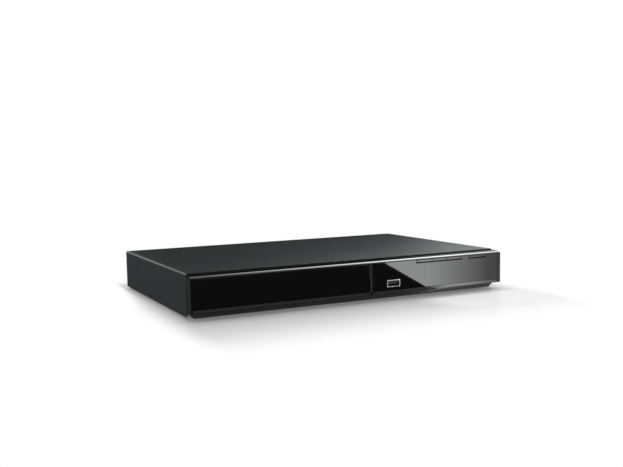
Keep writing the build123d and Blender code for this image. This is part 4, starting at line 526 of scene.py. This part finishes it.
def vector_of(tree, x=0.0, y=0.0, z=0.0):
    """A vector from sockets or plain numbers."""
    made = tree.nodes.new("ShaderNodeCombineXYZ")
    for place, value in enumerate((x, y, z)):
        if isinstance(value, (int, float)):
            made.inputs[place].default_value = value
        else:
            tree.links.new(value, made.inputs[place])
    return made.outputs[0]


def finish_tree(tree, shape, given, made, turn=None, scale=None, points=None):
    """Sets the shape on every point, as one plain mesh in the given finish."""
    spread = add(tree, "GeometryNodeInstanceOnPoints")
    whole = add(tree, "GeometryNodeRealizeInstances")
    finish = add(tree, "GeometryNodeSetMaterial")
    join(
        tree,
        (points or given.outputs["Geometry"], spread.inputs["Points"]),
        (shape, spread.inputs["Instance"]),
        (spread.outputs[0], whole.inputs[0]),
        (whole.outputs[0], finish.inputs["Geometry"]),
        (given.outputs["Finish"], finish.inputs["Material"]),
        (finish.outputs[0], made.inputs["Geometry"]),
    )
    if turn is not None:
        tree.links.new(turn, spread.inputs["Rotation"])
    if scale is not None:
        tree.links.new(scale, spread.inputs["Scale"])


def cross_recess_screw():
    """A low crowned head with a cross recess on a plain shank, set on each point."""
    tree, given, made = geometry_tree("cross_recess_screw", [
        ("Geometry", "geometry"), ("Head Radius", "value"), ("Head Height", "value"),
        ("Shank Radius", "value"), ("Shank Length", "value"), ("Recess Reach", "value"),
        ("Recess Width", "value"), ("Recess Depth", "value"), ("Turn", "vector"),
        ("Finish", "finish")])
    radius, height = given.outputs["Head Radius"], given.outputs["Head Height"]
    skirt = add(tree, "GeometryNodeMeshCone", Vertices=32)
    crown = add(tree, "GeometryNodeMeshCone", Vertices=32)
    skirt_share, shoulder, top = 0.6, 0.96, 0.62
    for cone, low, high, share in (
            (skirt, 1.0, shoulder, skirt_share), (crown, shoulder, top, 1.0 - skirt_share)):
        join(
            tree,
            (maths(tree, "MULTIPLY", radius, low), cone.inputs["Radius Bottom"]),
            (maths(tree, "MULTIPLY", radius, high), cone.inputs["Radius Top"]),
            (maths(tree, "MULTIPLY", height, share), cone.inputs["Depth"]),
        )
    lifted = add(tree, "GeometryNodeTransform")
    join(tree, (crown.outputs["Mesh"], lifted.inputs["Geometry"]), (vector_of(
        tree, z=maths(tree, "MULTIPLY", height, skirt_share)), lifted.inputs["Translation"]))
    head = add(tree, "GeometryNodeMeshBoolean", operation="UNION")
    join(tree, (skirt.outputs["Mesh"], head.inputs["Mesh 2"]),
         (lifted.outputs[0], head.inputs["Mesh 2"]))
    cut = add(tree, "GeometryNodeMeshBoolean", operation="DIFFERENCE")
    tree.links.new(head.outputs["Mesh"], cut.inputs["Mesh 1"])
    reach, slot_width = given.outputs["Recess Reach"], given.outputs["Recess Width"]
    depth_twice = maths(tree, "MULTIPLY", given.outputs["Recess Depth"], 2.0)
    for size in (vector_of(tree, reach, slot_width, depth_twice),
                 vector_of(tree, slot_width, reach, depth_twice)):
        arm = add(tree, "GeometryNodeMeshCube")
        raised = add(tree, "GeometryNodeTransform")
        join(tree, (size, arm.inputs["Size"]), (arm.outputs["Mesh"], raised.inputs["Geometry"]),
             (vector_of(tree, z=height), raised.inputs["Translation"]),
             (raised.outputs[0], cut.inputs["Mesh 2"]))
    shank = add(tree, "GeometryNodeMeshCylinder", Vertices=16)
    lowered = add(tree, "GeometryNodeTransform")
    both = add(tree, "GeometryNodeJoinGeometry")
    join(
        tree,
        (given.outputs["Shank Radius"], shank.inputs["Radius"]),
        (given.outputs["Shank Length"], shank.inputs["Depth"]),
        (shank.outputs["Mesh"], lowered.inputs["Geometry"]),
        (vector_of(tree, z=maths(tree, "MULTIPLY", given.outputs["Shank Length"], -0.5)),
         lowered.inputs["Translation"]),
        (cut.outputs["Mesh"], both.inputs[0]),
        (lowered.outputs[0], both.inputs[0]),
    )
    finish_tree(tree, both.outputs[0], given, made, turn=given.outputs["Turn"])
    return tree


# in millimetres
main_board_top = 8.6


def make_screws():
    """Screws of the boards, the loader and the cover."""
    tree = cross_recess_screw()
    shared = dict(Shank_Radius=0.00125, Recess_Width=0.0007, Recess_Depth=0.0009,
                  Finish=finishes["screw_steel"])
    loader_top, cover_back, cover_screw_z = 7.4, 94.95, 32.0
    sets = (
        ("board_screws", [(x, y, main_board_top) for x, y in (
            (14, -47), (14, 67.7), (93, -47), (93, 67.7), (108, -25), (108, 67.7), (146, -25),
            (146, 67.7))], 0.003, 0.0018, 0.005, (0, 0, 0.4), "chassis_screws"),
        ("loader_screws", [(x, y, loader_top) for x in (-146.7, 1.3) for y in (-77, 74)],
         0.0034, 0.0018, 0.0054, (0, 0, 0.9), "chassis_screws"),
        ("back_screws", [(x, cover_back, cover_screw_z) for x in (-118, 0, 118)],
         0.0033, 0.0019, 0.006, (-math.pi / 2, 0, 0), "cover_screws"),
    )
    for name, points, radius, height, length, turn, node in sets:
        mesh = grown_mesh(
            name, points, tree, Head_Radius=radius, Head_Height=height, Shank_Length=length,
            Recess_Reach=radius * 1.05, Turn=turn, **shared)
        place_piece(name, mesh, finishes["screw_steel"], "screw_steel", "case", node)


def vented_end():
    """The scored metal end of a can, scaled on each point to its can's radius."""
    tree, given, made = geometry_tree("vented_end", [
        ("Geometry", "geometry"), ("Radius", "value"), ("Thickness", "value"),
        ("Score", "value"), ("Finish", "finish")])
    end = add(tree, "GeometryNodeMeshCylinder", Vertices=32)
    cut = add(tree, "GeometryNodeMeshBoolean", operation="DIFFERENCE")
    radius, thickness, score = (
        given.outputs["Radius"], given.outputs["Thickness"], given.outputs["Score"])
    join(tree, (radius, end.inputs["Radius"]), (thickness, end.inputs["Depth"]),
         (end.outputs["Mesh"], cut.inputs["Mesh 1"]))
    score_reach, score_lift = 1.3, 0.6
    reach = maths(tree, "MULTIPLY", radius, score_reach)
    for size in (vector_of(tree, reach, score, thickness),
                 vector_of(tree, score, reach, thickness)):
        line = add(tree, "GeometryNodeMeshCube")
        raised = add(tree, "GeometryNodeTransform")
        join(tree, (size, line.inputs["Size"]), (line.outputs["Mesh"], raised.inputs["Geometry"]),
             (vector_of(tree, z=maths(tree, "MULTIPLY", thickness, score_lift)),
              raised.inputs["Translation"]),
             (raised.outputs[0], cut.inputs["Mesh 2"]))
    finish_tree(tree, cut.outputs["Mesh"], given, made)
    return tree


def make_can_ends():
    """Bare metal ends let into the sleeves of the electrolytic cans."""
    tree = vented_end()
    thickness, score, sleeve_lap = 0.2, 0.25, 0.7
    sizes = (
        (2.6, 7.0, [(16, 30), (24, 40), (84, -8), (84, 4), (70, -30)]),
        (3.2, 9.0, [(36, 46), (48, 52)]),
        (7.0, 22.0, [(112, 50)]),
        (4.2, 13.0, [(111, 4), (111, -7), (121, -7)]),
    )
    for index, (radius, height, places) in enumerate(sizes):
        mesh = grown_mesh(
            "can_ends_%d" % (index + 1), [(x, y, main_board_top + height) for x, y in places],
            tree, Radius=(radius - sleeve_lap) * millimetre, Thickness=thickness * millimetre,
            Score=score * millimetre, Finish=finishes["motor_steel"])
        place_piece(mesh.name, mesh, finishes["motor_steel"], "motor_steel", "case")


def scattered_box():
    """Small blocks on some of the points, picked and turned by a fixed seed."""
    tree, given, made = geometry_tree("scattered_box", [
        ("Geometry", "geometry"), ("Size", "vector"), ("Offset", "vector"), ("Share", "value"),
        ("Seed", "whole"), ("Finish", "finish")])
    body = add(tree, "GeometryNodeMeshCube")
    twin = add(tree, "GeometryNodeMeshCube")
    sets = add(tree, "GeometryNodeJoinGeometry")
    flip = add(tree, "ShaderNodeVectorMath", operation="MULTIPLY")
    flip.inputs[1].default_value = (-1, -1, 1)
    tree.links.new(given.outputs["Offset"], flip.inputs[0])
    for block, offset in ((body, given.outputs["Offset"]), (twin, flip.outputs[0])):
        moved = add(tree, "GeometryNodeTransform")
        join(tree, (given.outputs["Size"], block.inputs["Size"]),
             (block.outputs["Mesh"], moved.inputs["Geometry"]),
             (offset, moved.inputs["Translation"]), (moved.outputs[0], sets.inputs[0]))
    keep = add(tree, "FunctionNodeRandomValue", data_type="BOOLEAN")
    gone = add(tree, "GeometryNodeDeleteGeometry")
    quarter = add(tree, "FunctionNodeRandomValue", data_type="INT")
    numbers = [socket for socket in quarter.inputs if socket.type == "INT"]
    numbers[0].default_value, numbers[1].default_value = 0, 1
    join(
        tree,
        (given.outputs["Share"], keep.inputs["Probability"]),
        (given.outputs["Seed"], keep.inputs["Seed"]),
        (maths(tree, "ADD", given.outputs["Seed"], 1.0), quarter.inputs["Seed"]),
        (given.outputs["Geometry"], gone.inputs["Geometry"]),
        (keep.outputs[3], gone.inputs["Selection"]),
    )
    turn = vector_of(tree, z=maths(tree, "MULTIPLY", quarter.outputs[2], math.pi / 2))
    finish_tree(tree, sets.outputs[0], given, made, turn=turn, points=gone.outputs[0])
    return tree


def make_board_parts():
    """Chip resistors and their soldered ends in the free places of the main board."""
    tree = scattered_box()
    zones = ((60, 70, -25, -10), (38, 64, 27, 42), (12, 37, -9, 22), (22, 62, -38, -32),
             (58, 68, 46, 70), (89, 95, -36, 58), (11, 19, -36, -12), (12, 28, 48, 62))
    pitch = 3.4
    points = []
    for low_x, high_x, low_y, high_y in zones:
        for i in range(int((high_x - low_x) / pitch) + 1):
            for j in range(int((high_y - low_y) / pitch) + 1):
                points.append((low_x + i * pitch, low_y + j * pitch, main_board_top))
    for name, size, offset, slot_name in (
            ("chip_parts", (1.2, 1.2, 0.55), (0, 0, 0.275), "chip_black"),
            ("chip_part_ends", (0.4, 1.24, 0.6), (0.8, 0, 0.3), "jack_metal")):
        mesh = grown_mesh(
            name, points, tree, Size=[value * millimetre for value in size],
            Offset=[value * millimetre for value in offset], Share=0.35, Seed=7,
            Finish=finishes[slot_name])
        place_piece(name, mesh, finishes[slot_name], slot_name, "case")


def make_lead_screw():
    """The threaded rod that carries the pickup, along the tilted traverse."""
    front = Vector((-35.7, -11.84, 8.446)) * millimetre
    back = Vector((-35.7, 52.49, 13.164)) * millimetre
    radius, pitch, root, sides = 0.0015, 0.002, 0.0011, 24
    along = back - front
    length = along.length
    along.normalize()
    across = Vector((1, 0, 0))
    upward = across.cross(along)
    turns = int(length / pitch) + 2
    profile = ((0.0, radius), (0.35, radius), (0.5, root), (0.85, root))
    points, faces = [], []
    for turn in range(-1, turns):
        for share, reach in profile:
            for side in range(sides):
                angle = math.tau * side / sides
                run = min(max(pitch * (turn + share + side / sides), 0.0), length)
                points.append(front + along * run + (
                    across * math.cos(angle) + upward * math.sin(angle)) * reach)
    rows = len(points) // sides
    per_turn = len(profile)
    for row in range(rows - 1):
        for side in range(sides):
            if side + 1 < sides:
                low, high = row * sides + side + 1, (row + 1) * sides + side + 1
            elif row + per_turn + 1 < rows:
                low, high = (row + per_turn) * sides, (row + per_turn + 1) * sides
            else:
                continue
            faces.append((row * sides + side, low, high, (row + 1) * sides + side))
    mesh = mended_mesh("threaded_rod", points, faces, merge_doubles, close_ends)
    place_piece("threaded_rod", mesh, finishes["bright_steel"], "bright_steel", "lead_screw",
                "lead_screw")


def lathe_back(name, x, z, profile, sides=48):
    """A ring turned about a line along Y, from pairs of radius and Y in millimetres."""
    points, faces = [], []
    for radius, y in profile:
        for side in range(sides):
            angle = math.tau * side / sides
            points.append(Vector((x + radius * math.cos(angle), y, z + radius * math.sin(angle)))
                          * millimetre)
    count = len(profile)
    for row in range(count):
        for side in range(sides):
            after, ahead = (row + 1) % count, (side + 1) % sides
            faces.append((row * sides + side, row * sides + ahead, after * sides + ahead,
                          after * sides + side))
    return mended_mesh(name, points, faces)


def make_jack_cores():
    """Coloured insulators inside the jacks' barrels."""
    cores = (
        ("picture_core", 24.0, (0.75, 0.5, 0.02)),
        ("left_sound_core", 38.0, (0.75, 0.75, 0.72)),
        ("right_sound_core", 52.0, (0.55, 0.015, 0.02)),
        ("digital_core", 68.0, (0.75, 0.2, 0.02)),
    )
    jack_z, mouth_y, root_y = 18.0, 103.0, 89.0
    profile = ((3.3, root_y), (3.3, mouth_y - 0.3), (3.0, mouth_y), (1.9, mouth_y),
               (1.6, mouth_y - 0.4), (1.6, root_y))
    for name, x, colour in cores:
        material = finish_of(name, colour, size=0.0006, depth=0.000006, clean=0.35, wiped=0.45)
        place_piece(name, lathe_back(name, x, jack_z, profile), material, "jack_colour", "case",
                    "av_cores")


make_screws()
make_can_ends()
make_board_parts()
make_lead_screw()
make_jack_cores()


# ---------------------------------------------------------------- floor, cards and lamps
# the cards on the floor lie just over it, and this slanting line on it parts dark from bright
card_height = 0.0012
glow_edge_near = Vector((0.1026, -0.157))
glow_edge_far = Vector((0.156, -0.308))


def stage_mesh(name, points, faces):
    """A mesh that belongs to the studio, not to the player."""
    mesh = bpy.data.meshes.new(name)
    mesh.from_pydata(points, [], faces)
    mesh.validate()
    piece = bpy.data.objects.new(name, mesh)
    bpy.context.scene.collection.objects.link(piece)
    return piece


def seen_in_gloss_only(piece):
    """A studio card: it shows in reflections, and neither the camera nor the lamps meet it."""
    piece.visible_camera = False
    piece.visible_diffuse = False
    piece.visible_transmission = False
    piece.visible_volume_scatter = False
    piece.visible_shadow = False


def one_sided(material, front):
    """Lets the card's shader show on its upper side only."""
    tree = material.node_tree
    side = add(tree, "ShaderNodeNewGeometry")
    clear = add(tree, "ShaderNodeBsdfTransparent")
    choice = add(tree, "ShaderNodeMixShader")
    join(
        tree,
        (side.outputs["Backfacing"], choice.inputs[0]),
        (front.outputs[0], choice.inputs[1]),
        (clear.outputs[0], choice.inputs[2]),
        (choice.outputs[0], tree.nodes["Material Output"].inputs["Surface"]),
    )


def bare_material(name):
    """A material with nothing but its output node."""
    material = bpy.data.materials.new(name)
    material.use_nodes = True
    material.node_tree.nodes.remove(material.node_tree.nodes["Principled BSDF"])
    return material


def levels_along(tree, value, levels):
    """The level at a place: straight runs between pairs of place and level, flat past the ends."""
    brightest = max(level for place, level in levels)
    first, last = levels[0][0], levels[-1][0]
    share = add(tree, "ShaderNodeMapRange")
    share.inputs["From Min"].default_value = first
    share.inputs["From Max"].default_value = last
    ramp = add(tree, "ShaderNodeFloatCurve")
    curve = ramp.mapping.curves[0]
    curve.points[0].location = (0.0, levels[0][1] / brightest)
    curve.points[1].location = (1.0, levels[-1][1] / brightest)
    for place, level in levels[1:-1]:
        curve.points.new((place - first) / (last - first), level / brightest)
    for point in curve.points:
        point.handle_type = "VECTOR"
    ramp.mapping.update()
    join(tree, (value, share.inputs["Value"]), (share.outputs[0], ramp.inputs["Value"]))
    return maths(tree, "MULTIPLY", ramp.outputs[0], brightest)


def smooth_step(tree, value, low, high):
    """Nought below the low value, one above the high one and smooth between."""
    step = add(tree, "ShaderNodeMapRange", interpolation_type="SMOOTHSTEP")
    step.inputs["From Min"].default_value = low
    step.inputs["From Max"].default_value = high
    tree.links.new(value, step.inputs["Value"])
    return step.outputs[0]


def floor_material():
    """Pale floor, shadowed and softly mirroring by the player and plain white away from it; the
    shadow and mirroring are real, but their fall-off to white is painted shade, mixed towards white
    emission by distance from the player.

    How far the shade reaches on each side follows the photograph's floor.
    """
    material = bare_material("floor")
    tree = material.node_tree
    x, y = place_on(tree)[:2]
    # painted shade: how far the real shade shows before, behind and beside the player before the
    # floor turns to painted white
    shade_before, shade_behind, nose_reach = 0.105, 0.04, 0.02
    before = maths(tree, "DIVIDE", maths(
        tree, "MAXIMUM", maths(tree, "SUBTRACT", front_y - nose_reach, y), 0.0), shade_before)
    behind = maths(tree, "DIVIDE", maths(
        tree, "MAXIMUM", maths(tree, "SUBTRACT", y, cad_high.y), 0.0), shade_behind)
    # beside the player the shade narrows towards the back
    shade_beside = add(tree, "ShaderNodeMapRange")
    for label, value in (("From Min", -0.04), ("From Max", 0.1), ("To Min", 0.03),
                         ("To Max", 0.006)):
        shade_beside.inputs[label].default_value = value
    tree.links.new(y, shade_beside.inputs["Value"])
    beside = maths(tree, "DIVIDE", maths(tree, "MAXIMUM", maths(
        tree, "SUBTRACT", maths(tree, "ABSOLUTE", x), cad_high.x), 0.0), shade_beside.outputs[0])
    away = maths(tree, "SQRT", maths(tree, "ADD", maths(tree, "POWER", maths(
        tree, "MAXIMUM", before, behind), 2.0), maths(tree, "POWER", beside, 2.0)))
    # painted light: white emission fills the real shade a little at the contact, and further on the
    # floor before the right of the player
    painted_white_at_contact, painted_glow_white = 0.15, 0.55
    plain = maths(tree, "MULTIPLY_ADD", smooth_step(tree, away, 0.0, 1.0),
                  1.0 - painted_white_at_contact, painted_white_at_contact)
    # painted light: the floor before the right of the player is mixed further towards white
    # emission, a painted pool of light from the bright side of the studio
    glow_side = smooth_step(tree, x, 0.03, 0.08)
    glow_front = smooth_step(tree, maths(tree, "SUBTRACT", front_y, y), 0.002, 0.014)
    bright = maths(tree, "MULTIPLY", glow_side, glow_front)
    plain = maths(tree, "MAXIMUM", plain, maths(tree, "MULTIPLY", bright, painted_glow_white))
    matt = add(tree, "ShaderNodeBsdfDiffuse")
    matt.inputs["Color"].default_value = (0.8, 0.8, 0.8, 1)
    sheen = add(tree, "ShaderNodeBsdfGlossy")
    sheen.inputs["Roughness"].default_value = 0.2
    body = add(tree, "ShaderNodeMixShader")
    mirrored_share = 0.45
    body.inputs[0].default_value = mirrored_share
    white = add(tree, "ShaderNodeEmission")
    white.inputs["Strength"].default_value = 1.0
    choice = add(tree, "ShaderNodeMixShader")
    join(
        tree,
        (matt.outputs[0], body.inputs[1]),
        (sheen.outputs[0], body.inputs[2]),
        (maths(tree, "MULTIPLY", plain, seen_or_mirrored(tree)), choice.inputs[0]),
        (body.outputs[0], choice.inputs[1]),
        (white.outputs[0], choice.inputs[2]),
        (choice.outputs[0], tree.nodes["Material Output"].inputs["Surface"]),
    )
    return material


def make_floor():
    """A floor far wider than the view."""
    reach = 6.0
    floor = stage_mesh(
        "floor",
        [(-reach, -reach, 0), (reach, -reach, 0), (reach, reach, 0), (-reach, reach, 0)],
        [(0, 1, 2, 3)],
    )
    floor.data.materials.append(floor_material())


def card(name, corners, tint, brightness):
    """A one-sided card that only reflections show; brightness gives its level in its own tree."""
    piece = stage_mesh(name, corners, [(0, 1, 2, 3)])
    material = bare_material(name)
    tree = material.node_tree
    glow = add(tree, "ShaderNodeEmission")
    glow.inputs["Color"].default_value = (*tint, 1)
    tree.links.new(brightness(tree), glow.inputs["Strength"])
    one_sided(material, glow)
    piece.data.materials.append(material)
    seen_in_gloss_only(piece)


def steady(level):
    """The same level all over a card."""
    def brightness(tree):
        value = add(tree, "ShaderNodeValue")
        value.outputs[0].default_value = level
        return value.outputs[0]
    return brightness


def glow_brightness(tree):
    """Bright on the left and fading in a fan to the right, about a point behind the player."""
    x, y = place_on(tree)[:2]
    fan = maths(tree, "DIVIDE", maths(
        tree, "SUBTRACT", x, glow_centre.x), maths(tree, "SUBTRACT", glow_centre.y, y))
    return levels_along(tree, fan, glow_levels)


def rail_brightness(tree):
    """Rising to the right, with soft ends over the rail's nose and over the cover."""
    x, y = place_on(tree)[:2]
    least = 0.4
    over_nose = smooth_step(tree, y, -0.085, -0.035)
    over_cover = smooth_step(tree, y, 0.11, 0.06)
    ends = maths(tree, "MULTIPLY", over_nose, over_cover)
    return maths(tree, "MULTIPLY_ADD", ends, maths(
        tree, "SUBTRACT", levels_along(tree, x, rail_levels), least), least)


def lip_brightness(tree):
    """A bright patch for the right end of the lip."""
    return levels_along(tree, place_on(tree)[0], lip_levels)


# the fan's centre, and pairs of its slope and the level there
glow_centre = Vector((-0.3573, 0.4976))
glow_levels = [(0.64, 6.1), (0.7147, 5.8), (0.771, 3.5), (0.83, 1.35), (0.88, 0.8), (1.2, 0.5)]
# pairs of a place in metres and the level there
rail_levels = [
    (-0.15, 1.2), (-0.08, 1.4), (0.03, 4.0), (0.145, 7.5), (0.2, 9.0), (0.25, 7.0), (0.35, 4.0)]
lip_levels = [(0.2, 0.6), (0.235, 0.7), (0.26, 5.5), (0.29, 6.0), (0.34, 2.4), (0.42, 1.0)]


def make_cards():
    """Cards on the floor, over the rail and before the lip, placed by what reflects them."""
    near, far = glow_edge_near, glow_edge_far
    run = (far - near).normalized()
    start = near + run * ((front_y - near.y) / run.y)
    left, right, back = -0.9, 1.2, 1.3
    stop = near + run * ((left - near.y) / run.y)
    z = card_height
    cool, pale, dark = (0.9, 1.0, 1.05), (0.96, 1.0, 1.0), steady(0.05)
    card("dark_card_before",
         [(left, stop.y, z), (stop.x, stop.y, z), (start.x, start.y, z), (left, start.y, z)],
         cool, dark)
    card("dark_card_beside",
         [(left, front_y, z), (cover_left, front_y, z), (cover_left, back, z), (left, back, z)],
         cool, dark)
    card("glow_card",
         [(stop.x, stop.y, z), (right, stop.y, z), (right, start.y, z), (start.x, start.y, z)],
         pale, glow_brightness)
    rail_z = 0.16
    card("rail_card",
         [(-0.16, -0.1, rail_z), (-0.16, 0.12, rail_z), (0.5, 0.12, rail_z), (0.5, -0.1, rail_z)],
         pale, rail_brightness)
    lip_y = -0.3
    card("lip_card",
         [(0.55, lip_y, 0.06), (0.2, lip_y, 0.06), (0.2, lip_y, 0.3), (0.55, lip_y, 0.3)],
         pale, lip_brightness)


tent_radius = 1.7
tent_height = 1.5
# azimuth from +Y towards +X in degrees, and how bright the tent is there
tent_levels = [
    (-60.0, 0.6), (-25.0, 0.9), (0.0, 0.8), (9.0, 0.0), (32.0, 0.0), (34.0, 0.01), (36.5, 0.04),
    (38.5, 0.12), (41.0, 0.32), (46.0, 0.5), (90.0, 0.5)]


def tent_material():
    """A glow that changes round the tent and is the same from its foot to its top."""
    material = bare_material("tent")
    tree = material.node_tree
    x, y = place_on(tree)[:2]
    turn = maths(tree, "MULTIPLY", maths(tree, "ARCTAN2", x, y), math.degrees(1.0))
    light = add(tree, "ShaderNodeEmission")
    light.inputs["Color"].default_value = (0.96, 1.0, 1.01, 1)
    join(
        tree,
        (levels_along(tree, turn, tent_levels), light.inputs["Strength"]),
        (light.outputs[0], tree.nodes["Material Output"].inputs["Surface"]),
    )
    return material


def make_tent():
    """A round wall behind and beside the player that its cover and rail reflect."""
    sides = 96
    points, faces = [], []
    for step in range(sides):
        turn = math.tau * step / sides
        across, back = tent_radius * math.sin(turn), tent_radius * math.cos(turn)
        points += [(across, back, 0.0), (across, back, tent_height)]
    for step in range(sides):
        low = 2 * step
        ahead = 2 * ((step + 1) % sides)
        faces.append((low, low + 1, ahead + 1, ahead))
    tent = stage_mesh("tent", points, faces)
    tent.data.materials.append(tent_material())
    seen_in_gloss_only(tent)


def lamp(name, place, aim, size, power):
    """A square soft lamp that no reflection shows; the cards do that."""
    data = bpy.data.lights.new(name, "AREA")
    data.shape = "SQUARE"
    data.size = size
    data.energy = power
    holder = bpy.data.objects.new(name, data)
    bpy.context.scene.collection.objects.link(holder)
    holder.location = place
    holder.rotation_mode = "QUATERNION"
    holder.rotation_quaternion = (Vector(aim) - Vector(place)).to_track_quat("-Z", "Y")
    holder.visible_glossy = False


def set_world():
    """White to the camera and in reflections, at half that level as light."""
    world = bpy.data.worlds.new("studio")
    bpy.context.scene.world = world
    world.use_nodes = True
    tree = world.node_tree
    backdrop = tree.nodes["Background"]
    backdrop.inputs["Color"].default_value = (1, 1, 1, 1)
    as_light = 0.5
    strength = maths(tree, "MULTIPLY_ADD", seen_or_mirrored(tree), 1.0 - as_light, as_light)
    tree.links.new(strength, backdrop.inputs["Strength"])


make_floor()
make_cards()
make_tent()
set_world()
lamp("overhead", place=(0.1, 0.2, 1.4), aim=(0, 0, 0), size=1.3, power=16)
lamp("left_fill", place=(-1.2, 0.0, 0.35), aim=(-0.156, 0, 0.02), size=0.9, power=6)
bpy.context.scene.view_settings.view_transform = "Standard"
